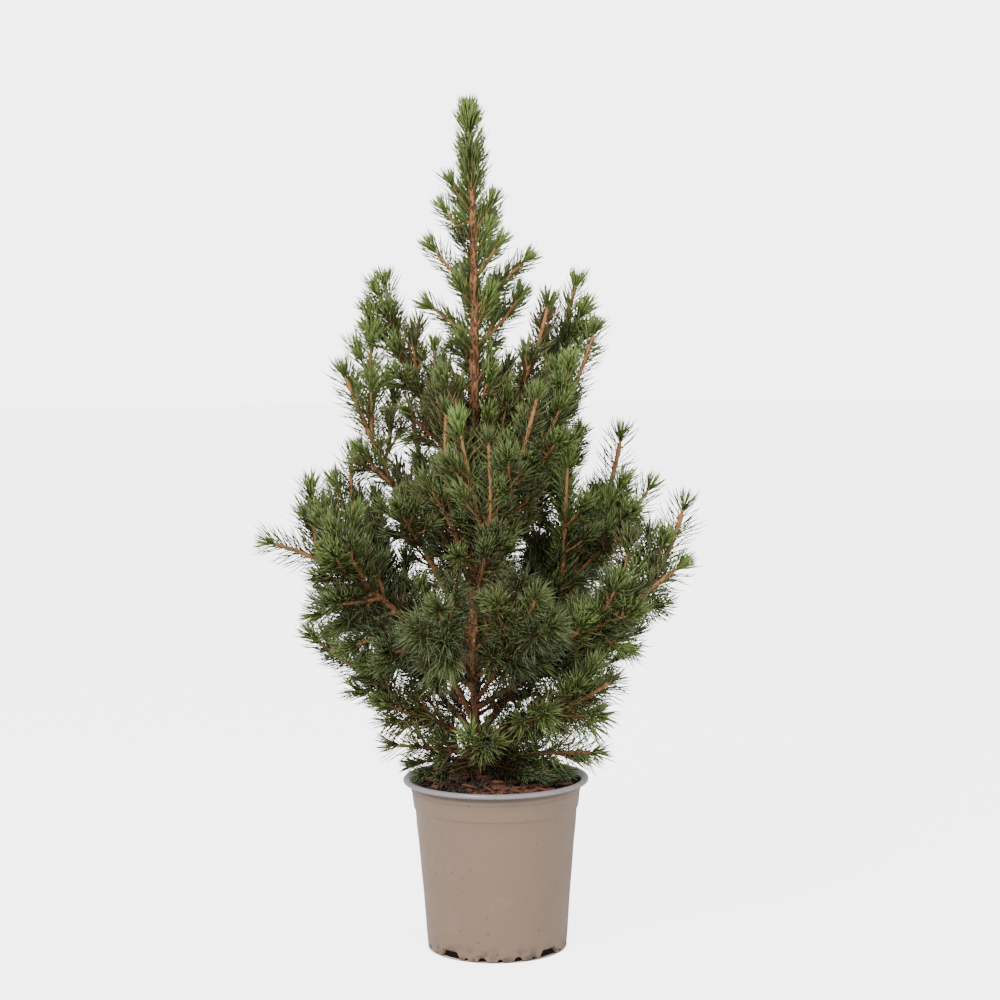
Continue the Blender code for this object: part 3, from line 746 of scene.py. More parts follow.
def needles_of(table, rng):
    """The needles of these rows as arrays: base, way, bend, length, tone and tier. Needles wind round the shoot
    by the golden angle, lean further forward near its tip, and curve on towards its heading and a little upwards.
    In a tuft they fan from along the shoot to its full spread."""
    number = np.maximum(rng.poisson(table["density"] * table["length"]), 1)
    owner, order = counted(number)
    count = len(owner)
    share = (order + rng.uniform(0, 1, count)) / number[owner]
    row = table[owner]
    heading = heading_on(row, share)
    to_tip = row["left"] + (1 - share) * row["length"]
    forward = np.exp(-to_tip / 0.0065)
    out = round_way(heading, np.arange(count) * GOLDEN_ANGLE + rng.normal(0, 0.25, count))
    spread = row["spread"] * (1 - 0.45 * forward) * rng.uniform(0.82, 1.18, count)
    spread = np.where(row["fan"], row["spread"] * np.sqrt(rng.uniform(0, 1.5, count)), spread)
    way = unit(np.cos(spread)[:, None] * heading + np.sin(spread)[:, None] * out + rng.normal(0, 0.09, (count, 3)))
    bend = 0.48 * onward(way, heading) + rng.normal(0, 0.12, way.shape)
    bend[:, 2] += np.where(row["veiled"], np.where(row["fan"], -0.45, -0.12), 0.10)
    length = row["needle"] * rng.uniform(0.78, 1.10, count) * (1 - 0.15 * forward)
    wood = row["radius"] * (1 - 0.4 * share * row["twig"])
    base = point_on(row, share) + out * (wood * 0.75)[:, None]
    fresh = 1.2 * np.exp(-((to_tip / 0.010) ** 2)) * (row["tone"] > 1.5)
    tone = np.where(row["tone"] >= WORN, row["tone"], np.clip(row["tone"] + fresh, 0, WORN - 1))
    kept = ~before_trunk(base + 0.6 * length[:, None] * way) | (rng.uniform(0, 1, count) < FRONT_KEPT)
    bare = rng.uniform(*UNDER_BARE, len(table))[owner] * ease(0.0, 0.65, below(out, heading))
    bare *= ~(row["veiled"] | np.isin(row["tier"], (CROWN, FOOT)))
    bare = np.where(row["shown"], np.maximum(0.25 * bare, SHOWN_BARE * ease(0.45, 0.8, -out[:, 1])), bare)
    kept &= (rng.uniform(0, 1, count) > bare) | row["fan"]
    kept &= within_solids_box(base + length[:, None] * way, NEEDLE_REACH)
    return [array[kept] for array in (base, way, bend, length, tone, row["tier"])]


def needle_surface(base, way, bend, length, width, rng):
    """Seven points for each needle: three-cornered rings on its parabola at its foot and past its middle, and
    its tip; and the faces between them."""
    middle = base + length[:, None] * (0.70 * way + 0.245 * bend)
    tip = base + length[:, None] * (way + 0.5 * bend)
    turn = rng.uniform(0, CIRCLE, len(base))[:, None] + np.arange(3) * (CIRCLE / 3)
    out = round_way(way[:, None], turn) * (width * rng.uniform(0.85, 1.15, len(base)))[:, None, None]
    points = np.concatenate((base[:, None] + 0.75 * out, middle[:, None] + out, tip[:, None]), axis=1)
    shift = (np.arange(len(base)) * points.shape[1])[:, None, None]
    return points, NEEDLE_QUADS + shift, NEEDLE_TRIANGLES + shift


# Materials ------------------------------------------------------------------------------------------------


class Tree:
    """Short calls that build a node tree. An input is another node's socket or a plain value, and a colour may
    be three plain values."""

    def __init__(self, tree):
        self.tree = tree

    def add(self, kind, output=0, settings=None, **inputs):
        node = self.tree.nodes.new("ShaderNode" + kind)
        for key, value in (settings or {}).items():
            setattr(node, key, value)
        for key, value in inputs.items():
            place = int(key[1:]) if key[1:].isdigit() else key.replace("_", " ")
            self.feed(node.inputs[place], value)
        return node.outputs[output]

    def feed(self, socket, value):
        if isinstance(value, bpy.types.NodeSocket):
            self.tree.links.new(value, socket)
        else:
            socket.default_value = (*value, 1.0) if socket.type == "RGBA" else value

    def math(self, operation, one, two):
        return self.add("Math", settings={"operation": operation}, i0=one, i1=two)

    def times(self, one, two):
        return self.math("MULTIPLY", one, two)

    def span(self, value, low, high, to_low=0.0, to_high=1.0):
        """The value mapped smoothly from low..high to to_low..to_high and held there."""
        return self.add("MapRange", settings={"interpolation_type": "SMOOTHSTEP"}, Value=value,
                        From_Min=low, From_Max=high, To_Min=to_low, To_Max=to_high)

    def mix(self, factor, one, two):
        return self.add("Mix", output=2, settings={"data_type": "RGBA"}, i0=factor, i6=one, i7=two)

    def place(self):
        return self.add("TexCoord", output=3)

    def height(self):
        return self.add("SeparateXYZ", output=2, Vector=self.place())

    def length(self, vector):
        return self.add("VectorMath", output=1, settings={"operation": "LENGTH"}, i0=vector)

    def stretched(self, *scale):
        return self.add("Mapping", Vector=self.place(), Scale=scale)

    def noise(self, place, scale, detail=2.0, **more):
        return self.add("TexNoise", Vector=place, Scale=scale, Detail=detail, **more)

    def value_of(self, name):
        return self.add("Attribute", output=2, settings={"attribute_name": name})

    def grain(self, place, scale, height):
        return self.add("Group", settings={"node_tree": grain_group()}, Place=place, Scale=scale, Height=height)

    def mottle(self, place, scale, amount, one, two):
        return self.add("Group", settings={"node_tree": mottle_group()}, Place=place, Scale=scale, Amount=amount,
                        One=one, Two=two)

    def specks(self, scale, rare, size):
        """A mask of small round specks of many sizes, at the middles of some cells of a cell texture."""
        far = self.add("TexVoronoi", Vector=self.place(), Scale=scale)
        colour = self.add("SeparateColor", Color=far.node.outputs["Color"])
        return self.times(self.span(far, size, 0.5 * size), self.math("GREATER_THAN", colour, rare))


def new_material(name, roughness, **inputs):
    """A material and its tree, with the shader's inputs by name."""
    material = bpy.data.materials.new(name)
    material.use_nodes = True
    tree = Tree(material.node_tree)
    finish(tree, Roughness=roughness, **inputs)
    return material, tree


def finish(tree, **inputs):
    for key, value in inputs.items():
        tree.feed(tree.tree.nodes["Principled BSDF"].inputs[key.replace("_", " ")], value)


def group(name, result, sockets, build):
    """A node group whose inputs are the sockets by name and kind. build makes its one result from them."""
    made = bpy.data.node_groups.new(name, "ShaderNodeTree")
    for key, kind in sockets.items():
        made.interface.new_socket(key, in_out="INPUT", socket_type="NodeSocket" + kind)
    made.interface.new_socket(result[0], in_out="OUTPUT", socket_type="NodeSocket" + result[1])
    tree = Tree(made)
    value = build(tree, made.nodes.new("NodeGroupInput").outputs)
    made.links.new(value, made.nodes.new("NodeGroupOutput").inputs[result[0]])
    return made


@functools.cache
def grain_group():
    """Group: a normal from two sizes of noise, the coarse and the fine one at a seventh of its size."""

    def build(tree, given):
        coarse = tree.noise(given["Place"], given["Scale"], 3.0)
        fine = tree.noise(given["Place"], tree.times(given["Scale"], 7.0), 2.0)
        return tree.add("Bump", Distance=given["Height"],
                        Height=tree.math("ADD", coarse, tree.times(fine, 0.35)))

    return group("surface grain", ("Normal", "Vector"), {"Place": "Vector", "Scale": "Float", "Height": "Float"},
                 build)


@functools.cache
def mottle_group():
    """Group: two colours mixed by noise, with the share of the second one rising with Amount."""

    def build(tree, given):
        patches = tree.noise(given["Place"], given["Scale"], 4.0, Roughness=0.6)
        low = tree.math("SUBTRACT", 0.75, tree.times(given["Amount"], 0.5))
        return tree.mix(tree.span(patches, low, tree.math("ADD", low, 0.18)), given["One"], given["Two"])

    return group("mottled colour", ("Color", "Color"),
                 {"Place": "Vector", "Scale": "Float", "Amount": "Float", "One": "Color", "Two": "Color"}, build)


@functools.cache
def bark_material():
    """Orange-brown bark: darker furrows along the stem, paler flakes, darker towards the ground, painted shade
    where the point value named relief is low, and yellower wood where the point value named young is high."""
    hues = bpy.context.scene.spruce_bark
    material, tree = new_material("bark", 0.78)
    along = tree.stretched(1.0, 1.0, 0.45)
    base = tree.mottle(along, 420.0, 0.45, hues.bark, hues.bark_pale)
    base = tree.mottle(along, 260.0, 0.36, base, hues.bark_furrows_and_shade)
    fresh = tree.mottle(along, 620.0, 0.46, hues.twig, hues.bark)
    fresh = tree.mottle(along, 520.0, 0.47, fresh, hues.bark_furrows_and_shade)
    base = tree.mix(tree.value_of("young"), base, fresh)
    # Painted shade: darker where the point value named relief is low, in the trunk's deepest furrows and at the
    # feet of the low boughs.
    base = tree.mix(tree.span(tree.value_of("relief"), 0.46, 0.12, 0.0, 0.85), base, hues.bark_furrows_and_shade)
    base = tree.mix(tree.span(tree.height(), 0.225, 0.125, 0.0, 0.70), base, hues.bark_furrows_and_shade)
    finish(tree, Base_Color=base, Normal=tree.grain(along, 900.0, 0.0004))
    return material


# Near-black painted shade in the drain slots.
POT_SLOT_SHADE = (0.034, 0.020, 0.014)


def pot_material(hues):
    """Satin moulded plastic: faint clouding, dark specks of soil, a glossier lip with a painted highlight, a dusty
    band round the foot, painted shade under the lip, under the bead and in the drain slots, and a darker inner
    wall."""
    material, tree = new_material("pot_plastic", 0.42)
    place, height = tree.place(), tree.height()
    radius = tree.length(tree.stretched(1.0, 1.0, 0.0))

    def both(one, two):
        return tree.times(tree.span(*one), tree.span(*two))

    # Painted highlight: the rolled lip takes a paler, cooler colour.
    lip = tree.span(height, POT_HEIGHT - 0.0039, POT_HEIGHT - 0.0029)
    dusty = both((height, 0.014, 0.001), (tree.noise(place, 150.0, 5.0), 0.44, 0.62))
    # Painted shade: the back walls and ceilings of the drain slots turn near-black, without specular.
    inside = both((radius, 0.0466, 0.0458), (height, 0.0068, 0.0062))
    base = tree.mottle(place, 38.0, 0.4, hues.plastic, hues.plastic_pale)
    base = tree.mix(lip, base, hues.lip)
    # Painted shadow: a dark band under the rolled lip.
    under = both((height, POT_HEIGHT - 0.0078, POT_HEIGHT - 0.0058),
                 (height, POT_HEIGHT - 0.0028, POT_HEIGHT - 0.0038))
    # The inner wall below the lip is darker.
    within = both((radius, 0.0612, 0.0598), (height, 0.113, 0.116))
    # Painted shade: a thin dark line under the bead below the lip.
    bead_shade = both((height, 0.1098, 0.1106), (height, 0.1116, 0.1108))
    for mask, share, over in ((under, 0.75, hues.dust_and_shade), (within, 0.85, hues.dust_and_shade), (bead_shade, 0.35, hues.dust_and_shade),
                              (tree.specks(170.0, 0.60, 0.17), 0.50, hues.speck),
                              (tree.specks(70.0, 0.84, 0.060), 0.75, hues.speck), (dusty, 0.8, hues.dust_and_shade)):
        base = tree.mix(tree.times(mask, share), base, over)
    rough = tree.span(tree.noise(place, 60.0, 4.0), 0.3, 0.7, 0.27, 0.38)
    rough = tree.math("MAXIMUM", rough, tree.times(dusty, 0.8))
    finish(tree, Base_Color=tree.mix(inside, base, POT_SLOT_SHADE), Normal=tree.grain(place, 420.0, 0.00005),
           Roughness=tree.math("SUBTRACT", rough, tree.times(lip, 0.10)),
           Specular_IOR_Level=tree.span(inside, 0.0, 1.0, 0.75, 0.0))
    return material


def earth_material(name, roughness, place, layers, grain):
    """Two mottled layers over one another: scale, amount and colours of each."""
    material, tree = new_material(name, roughness)
    place = tree.stretched(*place) if place else tree.place()
    (scale, amount, base, over), (scale_over, amount_over, top) = layers
    base = tree.mottle(place, scale, amount, base, over)
    finish(tree, Base_Color=tree.mottle(place, scale_over, amount_over, base, top),
           Normal=tree.grain(place, *grain))
    return material


def soil_material():
    """Damp peat and bark fines: near black, with brown crumbs and a few pale fibres."""
    hues = bpy.context.scene.spruce_soil
    return earth_material("potting_soil", 0.88, None,
                          ((330.0, 0.50, hues.peat, hues.crumb), (900.0, 0.28, hues.fibre)), (1100.0, 0.0006))


def chip_material():
    """Shredded conifer bark: red-brown layers along the chip with dark edges."""
    hues = bpy.context.scene.spruce_soil
    return earth_material("bark_chips", 0.80, (1.0, 0.45, 2.2),
                          ((380.0, 0.5, hues.chip, hues.chip_dark), (900.0, 0.34, hues.chip_pale)),
                          (1300.0, 0.0004))


# Settings -------------------------------------------------------------------------------------------------


def tint(name, description, default):
    return FloatVectorProperty(name=name, description=description, subtype="COLOR", size=3, min=0.0, max=1.0,
                               default=default)


def size(name, description, default, least, most):
    return FloatProperty(name=name, description=description, default=default, min=least, max=most, unit="LENGTH",
                         precision=5)


def strength(name, description, default, unit="NONE"):
    return FloatProperty(name=name, description=description, default=default, min=0.0, unit=unit)


class SpruceNeedles(bpy.types.PropertyGroup):
    """Number, size and colours of the needles."""

    seed: IntProperty(name="Seed", description="Draws another plant of the same kind", default=11, min=0)
    width: size("Half width", "From a needle's middle line to its edge", NEEDLE_WIDTH, 0.0002, 0.001)
    roughness: FloatProperty(name="Roughness", description="Of the needles' skin", default=0.33, min=0, max=1,
                             subtype="FACTOR")
    shade_blue: tint("Deep shade", "Bluish needles deep in the crown", (0.051, 0.058, 0.025))
    shade: tint("Shade", "Needles in the shade of others", (0.074, 0.083, 0.030))
    old_blue: tint("Old, bluish", "Older needles with a grey bloom", (0.112, 0.150, 0.060))
    old: tint("Old", "Older needles", (0.132, 0.166, 0.050))
    young: tint("Young", "This year's needles", (0.172, 0.230, 0.062))
    fresh: tint("Fresh", "Needles near the tips", (0.212, 0.292, 0.072))
    tip: tint("Tip", "The tufts at the tips", (0.250, 0.365, 0.090))
    worn: tint("Worn", "Needles worn brown", (0.172, 0.124, 0.050))
    dry: tint("Dry", "Sprays that have died", (0.150, 0.084, 0.038))


class SpruceBark(bpy.types.PropertyGroup):
    """Relief and colours of the wood."""

    relief: size("Relief", "Height of the pegs that old needles leave on the bark", 0.00045, 0.00001, 0.001)
    bark: tint("Bark", "Bark of the trunk and boughs", (0.270, 0.110, 0.045))
    bark_pale: tint("Flakes", "Pale flakes of the bark", (0.500, 0.275, 0.135))
    # Furrows, and also the painted shade in the deepest furrows and at the feet of the low boughs, and the
    # darkening towards the ground.
    bark_furrows_and_shade: tint("Furrows", "Furrows between the flakes", (0.070, 0.026, 0.012))
    twig: tint("Twigs", "Bark of this year's twigs", (0.440, 0.215, 0.085))


class SprucePot(bpy.types.PropertyGroup):
    """Sizes and colours of the pot."""

    slots: IntProperty(name="Slots", description="Drain slots round the foot", default=4, min=1, max=8)
    slot_width: size("Slot width", "Of a drain slot along the foot", 0.0190, 0.004, 0.03)
    slot_height: size("Slot height", "Of a drain slot", 0.0050, 0.001, 0.02)
    plastic: tint("Plastic", "Taupe plastic of the wall", (0.262, 0.170, 0.115))
    plastic_pale: tint("Clouding", "Paler clouds in the plastic", (0.287, 0.190, 0.131))
    # Painted highlight: a paler, cooler colour for the rolled lip.
    lip: tint("Lip", "The rolled lip, rubbed paler", (0.330, 0.290, 0.300))
    speck: tint("Specks", "Specks of soil", (0.045, 0.030, 0.022))
    # Colour of the dusty band round the foot, and also of the painted shadow under the lip, the painted shade
    # under the bead and the darker inner wall.
    dust_and_shade: tint("Dust", "Soil dust", (0.085, 0.058, 0.044))


class SpruceSoil(bpy.types.PropertyGroup):
    """Colours and crumbs of the soil."""

    lumps: size("Lumps", "Height of the soil's lumps", 0.0011, 0.0, 0.004)
    peat: tint("Peat", "Damp peat", (0.022, 0.012, 0.008))
    crumb: tint("Crumbs", "Brown crumbs", (0.075, 0.036, 0.020))
    fibre: tint("Fibres", "Pale fibres", (0.190, 0.110, 0.065))
    chip: tint("Chips", "Bark chips", (0.180, 0.064, 0.034))
    chip_dark: tint("Chip edges", "Dark parts of the chips", (0.060, 0.022, 0.013))
    chip_pale: tint("Chip wood", "Pale wood of the chips", (0.560, 0.310, 0.185))


class SpruceStage(bpy.types.PropertyGroup):
    """Floor, light and camera."""

    floor: tint("Floor", "Colour of the floor", (0.86, 0.86, 0.86))
    key: strength("Key light", "Power of the large lamp", 72.0, "POWER")
    fill: strength("Fill light", "Power of the fill lamp", 16.0, "POWER")
    sky: strength("Surround", "Light from all round", 0.68)
    backdrop: strength("Backdrop", "Brightness of the surround behind the plant", 5.0)
    glow: strength("Floor glow", "Brightness added to the floor where it is seen", 4.0)
    lens: FloatProperty(name="Lens", description="Focal length in millimetres", default=79.2, min=10.0)


# Operators ------------------------------------------------------------------------------------------------


class SPRUCE_OT_needles(bpy.types.Operator):
    """Needles on every shoot, joined into one piece for each part of the crown"""

    bl_idname = "spruce.needles"
    bl_label = "Needles"

    def execute(self, context):
        chosen = context.scene.spruce_needles
        palette = [new_material(f"needle_{name}", chosen.roughness, Base_Color=getattr(chosen, name),
                                Specular_IOR_Level=0.65)[0]
                   for name in ("shade_blue", "shade", "old_blue", "old", "young", "fresh", "tip", "worn", "dry")]
        rng = np.random.default_rng(chosen.seed + 1)
        *arrays, tone, tier = needles_of(growth(chosen.seed), rng)
        for number, name in enumerate(TIERS):
            here = tier == number
            surface = needle_surface(*[array[here] for array in arrays], chosen.width, rng)
            tones = np.clip(np.round(tone[here]), 0, len(palette) - 1)
            tones = np.concatenate([np.repeat(tones, len(faces)) for faces in (NEEDLE_TRIANGLES, NEEDLE_QUADS)])
            nodes = [limb.nodes[0] for limb in limbs() if limb.tier == number]
            add_part(f"needles_{name}", "needles_young" if number in (CROWN, FOOT) else "needles",
                     nodes + ["foliage_leader"] * (number == CROWN), surface, palette, tones)
        return {"FINISHED"}


TWIG_SIDES = 5
TWIG_RINGS = 6


class SPRUCE_OT_twigs(bpy.types.Operator):
    """The wood of every side shoot, a tapering tube with a swollen foot"""

    bl_idname = "spruce.twigs"
    bl_label = "Twigs"

    def execute(self, context):
        table = growth(context.scene.spruce_needles.seed)
        table = table[table["twig"]]
        share = np.linspace(0.0, 1.0, TWIG_RINGS) ** 1.3
        lines = table["base"][:, None] + table["length"][:, None, None] * (
            table["way"][:, None] * share[:, None] + table["bend"][:, None] * share[:, None] ** 2 / 2)
        swelling = 1 + 0.9 * np.exp(-share * table["length"][:, None] / 0.0016)
        radii = table["radius"][:, None] * (1 - 0.38 * share) * swelling
        radii[:, -1] *= 0.5
        knobs = 1 + 0.16 * np.cos(np.arange(TWIG_SIDES) * 2.4 + np.arange(TWIG_RINGS)[:, None] * 2.1)
        surface = tubes(lines, radii[..., None] * knobs, TWIG_SIDES, least_along(table["way"]))
        young = np.concatenate((0.35 + 0.55 * np.repeat(share, TWIG_SIDES), (0.35, 0.9)))
        young = np.broadcast_to(young, surface[0].shape[:2])
        return add_part("twigs", "bark", [], surface, [bark_material()], young=young, relief=np.ones(young.shape))


def pegs(walked, turn, rows_round, pitch):
    """Pegs in crossing spirals: where the crests of two waves round and along the stem meet."""
    one = np.cos(rows_round * turn + CIRCLE * walked / pitch)
    two = np.cos((rows_round - 2) * turn - CIRCLE * walked / (pitch * 0.62))
    return np.clip(one + two - 0.7, 0, None) / 1.3


TRUNK_RELIEF_SIDES = 30
TRUNK_RELIEF_RINGS = 560
COLLAR_WIDTH = 0.0036


def trunk_relief(relief):
    """The trunk's rings with pegs, furrows and a collar under every limb."""
    heights = np.linspace(*trunk_course()[0][[0, -1]], TRUNK_RELIEF_RINGS)
    turn = circle(TRUNK_RELIEF_SIDES)
    line = trunk_at(heights)
    radius = trunk_radius(heights)[:, None]
    out = np.stack((np.cos(turn), np.sin(turn), 0 * turn), axis=-1)
    place = (line[:, None] + radius[..., None] * out) * np.array((1.0, 1.0, 0.28))
    bumps = relief * 0.8 * pegs(heights[:, None], turn, 5, 0.0062)
    furrows = relief * (0.55 * ripple(place, 0.0040, 3) + 0.45 * ripple(place, 0.0018, 4))
    collars = np.zeros_like(bumps)
    for limb in limbs():
        near = limb.at(0.06)
        away = near - trunk_at(near[2])
        apart = np.angle(np.exp(1j * (turn - math.atan2(away[1], away[0])))) * radius
        rise = heights[:, None] - limb.course[0, 2] - 0.002
        reach = (apart**2 + (rise * 0.7) ** 2) / COLLAR_WIDTH**2
        collars = np.maximum(collars, 0.25 * limb.radius * np.exp(-reach))
    depth = (bumps + furrows - 0.3 * relief) * np.clip(radius / 0.003, 0.35, 1.0)
    slim = 1 - 0.22 * ease(0.34, 0.20, heights)[:, None]
    # The last array is the point value that darkens the bark as painted shade, low in the deepest furrows.
    return line, radius * slim + depth + collars, np.clip(0.5 + depth / relief * 0.5, 0, 1)


class SPRUCE_OT_trunk(bpy.types.Operator):
    """The trunk with the relief of its bark"""

    bl_idname = "spruce.trunk"
    bl_label = "Trunk"

    def execute(self, context):
        line, radii, relief = trunk_relief(context.scene.spruce_bark.relief)
        points, *faces = tubes(line[None], radii[None], TRUNK_RELIEF_SIDES, np.array([(0.0, 1.0, 0.0)]))
        points[0, :TRUNK_RELIEF_SIDES, 2] = line[0, 2]
        return add_part("trunk_bark", "bark", ["trunk"], (points, *faces), [bark_material()],
                        young=np.clip((points[0, :, 2] - 0.30) / 0.25, 0, 0.75),
                        relief=np.append(relief, (0.5, 0.5)))


LIMB_SIDES = 8
LIMB_RINGS = 120


class SPRUCE_OT_boughs(bpy.types.Operator):
    """Every limb's wood from the trunk to its tip, with the relief of its bark"""

    bl_idname = "spruce.boughs"
    bl_label = "Boughs"

    def execute(self, context):
        height = context.scene.spruce_bark.relief
        share = np.linspace(0.0, 1.0, LIMB_RINGS)
        turn = circle(LIMB_SIDES)
        out = np.stack((np.cos(turn), np.sin(turn), turn * 0), axis=-1)
        made = []
        for number, limb in enumerate(limbs()):
            line = limb.at(share * 0.995)
            wood = limb.wood_radius(share)[:, None] * (1 + 0.15 * np.exp(-share * limb.length / 0.006))[:, None]
            depth = height * (0.55 * pegs(share[:, None] * limb.length, turn, 5, 0.0050)
                              + 0.35 * ripple(line[:, None] + wood[..., None] * out, 0.0030, 40 + number))
            young = np.append(np.repeat(0.15 + 0.85 * share, LIMB_SIDES), (0.15, 1.0))
            # Painted shade: the feet of the low boughs get a lower point value, which darkens their bark.
            shaded = 0.30 * ease(0.30, 0.20, limb.course[0, 2]) * ease(0.50, 0.15, share)
            made.append((line, wood + depth * np.clip(wood / 0.0016, 0.4, 1.0),
                         unit(np.cross(limb.course[-1] - limb.course[0], UP)), young,
                         np.append(np.repeat(0.6 - shaded, LIMB_SIDES), (0.2, 0.6))))
        lines, radii, helpers, young, relief = map(np.array, zip(*made))
        return add_part("bough_bark", "bark", [node for limb in limbs() for node in limb.nodes[1:]],
                        tubes(lines, radii, LIMB_SIDES, helpers), [bark_material()], young=young, relief=relief)


# Pot: (radius, height) below the rim and outside it, from the cavity's floor to the underside
CAVITY = ((0.0, 0.0022), (0.0436, 0.0022), (0.0444, 0.0068), (0.0474, 0.0070), (0.0479, 0.0078), (0.0552, 0.0970),
          (0.0562, 0.0995), (0.0578, 0.1120), (0.0586, 0.1150))
LIP = ((0.0592, 0.1170), (0.0602, 0.1186), (0.0611, 0.1194), (0.0622, 0.1199), (0.0632, 0.1200), (0.0641, 0.1197),
       (0.0647, 0.1191), (0.0650, 0.1184), (0.0649, 0.1176), (0.0645, 0.1169), (0.0638, 0.1165), (0.0618, 0.1163),
       (0.0605, 0.1158))
WALL = ((0.0598, 0.1145), (0.0594, 0.1128), (0.0592, 0.1119), (0.0594, 0.1115), (0.0594, 0.1111), (0.0590, 0.1107),
        (0.0584, 0.1050), (0.0578, 0.1004), (0.0577, 0.0998), (0.0575, 0.0991), (0.0569, 0.0986), (0.0566, 0.0980),
        (0.0560, 0.0880), (0.0544, 0.0725), (0.0533, 0.0580), (0.0520, 0.0437), (0.0509, 0.0294), (0.0500, 0.0160),
        (0.0496, 0.0095))
FOOT_TOP = 0.0085  # the wall below this bends round the slots
FOOT_RADIUS_TOP = 0.0495
FOOT_RADIUS = 0.0487
FOOT_ROUNDING = 0.0010
NOTCH_RADIUS = 0.0457
SLIDES = (0.0, 0.35, 0.65, 0.88)  # places of the foot's sliding rows between its top and the edge
FOOT_PROFILE = ((FOOT_RADIUS_TOP, FOOT_TOP),) * len(SLIDES) + (
    (FOOT_RADIUS, FOOT_ROUNDING), (0.0484, 0.0003), (0.0477, 0.0), (NOTCH_RADIUS, 0.0), (0.0454, 0.0), (0.0, 0.0))
SCALLOPS = ((-29.0, 0.0019), (-15.0, 0.0031), (0.0, 0.0021), (15.0, 0.0032), (29.0, 0.0018))  # degrees, radius
SLOT_SLANT = 0.0038  # width of the slope at each end of a slot
POT_ANGLES = 240
SLOT_TURN = math.radians(47.5)


def foot_places(slots):
    """The angle of each slot, and the angle and radius of each scallop between them."""
    turns = SLOT_TURN + np.arange(slots) * (CIRCLE / slots)
    return turns, [(turn + math.pi / slots + math.radians(place), radius)
                   for turn in turns for place, radius in SCALLOPS]


def foot_edge(angles, settings):
    """Height of the foot's edge: zero, round arches at the scallops, and slots with rounded upper corners."""

    def along_foot(place):
        return np.angle(np.exp(1j * (angles - place))) * FOOT_RADIUS

    turns, scallops = foot_places(settings.slots)
    edges = [np.sqrt(np.clip(radius**2 - along_foot(place) ** 2, 0, None)) for place, radius in scallops]
    edges += [settings.slot_height * ease(0.0, SLOT_SLANT, settings.slot_width / 2 - np.abs(along_foot(turn)))
              for turn in turns]
    return np.max(edges, axis=0)


def foot_angles(settings):
    """Even angles, with more of them at the rims of the slots and scallops."""
    turns, scallops = foot_places(settings.slots)
    rim = settings.slot_width / 2 - SLOT_SLANT * np.array((-0.02, 0.02, 0.12, 0.25, 0.4, 0.55, 0.7, 0.85, 1.0))
    across_it = np.array((-1.02, -0.98, -0.85, -0.6, -0.3, 0, 0.3, 0.6, 0.85, 0.98, 1.02))
    extra = [turn + sign * rim / FOOT_RADIUS for turn in turns for sign in (-1, 1)]
    extra += [place + radius * across_it / FOOT_RADIUS for place, radius in scallops]
    angles = np.sort(np.mod(np.concatenate([circle(POT_ANGLES), *extra]), CIRCLE))
    return angles[np.append(True, np.diff(angles) > 1e-5)]


class SPRUCE_OT_pot(bpy.types.Operator):
    """The pot: a turned shell with a rolled lip, a shoulder, drain slots and scallops in its foot"""

    bl_idname = "spruce.pot"
    bl_label = "Pot"

    def execute(self, context):
        settings = context.scene.spruce_pot
        angles = foot_angles(settings)
        edge = foot_edge(angles, settings)
        first = len(CAVITY + LIP + WALL) - 1

        def notched(grid):
            """Rows of the foot slide between its top and the edge; the notch goes inwards at the edge's height."""
            for row, share in enumerate(SLIDES):
                height = FOOT_TOP + (edge + FOOT_ROUNDING - FOOT_TOP) * share
                radius = np.interp(height, (0.0, FOOT_TOP), (FOOT_RADIUS, FOOT_RADIUS_TOP))
                grid[first + row] = np.stack((np.cos(angles) * radius, np.sin(angles) * radius, height), axis=-1)
            grid[first + len(SLIDES):first + len(SLIDES) + 4, :, 2] += edge
            wobble = 0.00022 * np.sin(2 * angles + 0.7) + 0.00012 * np.sin(5 * angles)
            grid[..., 2] += wobble * ease(0.09, 0.12, grid[..., 2]) * 0.5
            grid[..., :2] *= 1 + (wobble * 6 * ease(0.05, 0.12, grid[..., 2]))[..., None]
            return grid

        surface = turned(np.array(CAVITY + LIP + WALL + FOOT_PROFILE), angles, notched)
        return add_part("pot_shell", "pot_plastic", ["pot"], surface, [pot_material(settings)])


SOIL_RADIUS = 0.0574
SOIL_LEVEL = 0.1178
SOIL_EDGE_LEVEL = 0.1150
SOIL_RINGS = 66
SOIL_ANGLES = 210
SOIL_SIDE = ((0.0572, 0.1120), (0.0556, 0.0985), (0.0546, 0.0960), (0.0475, 0.0084), (0.0470, 0.0074),
             (0.0440, 0.0072), (0.0432, 0.0026), (0.0, 0.0026))


def soil_height(x, y, lumps):
    """Height of the soil: a low mound under two sizes of lumps."""
    place = np.stack((x, y, 0 * x), axis=-1)
    mound = SOIL_LEVEL + (SOIL_EDGE_LEVEL - SOIL_LEVEL) * ease(0.030, SOIL_RADIUS, np.hypot(x, y))
    return mound + lumps * (0.9 * ripple(place, 0.016, 21) + 0.45 * ripple(place, 0.0060, 22)
                            + 0.30 * np.abs(ripple(place, 0.0028, 23)))


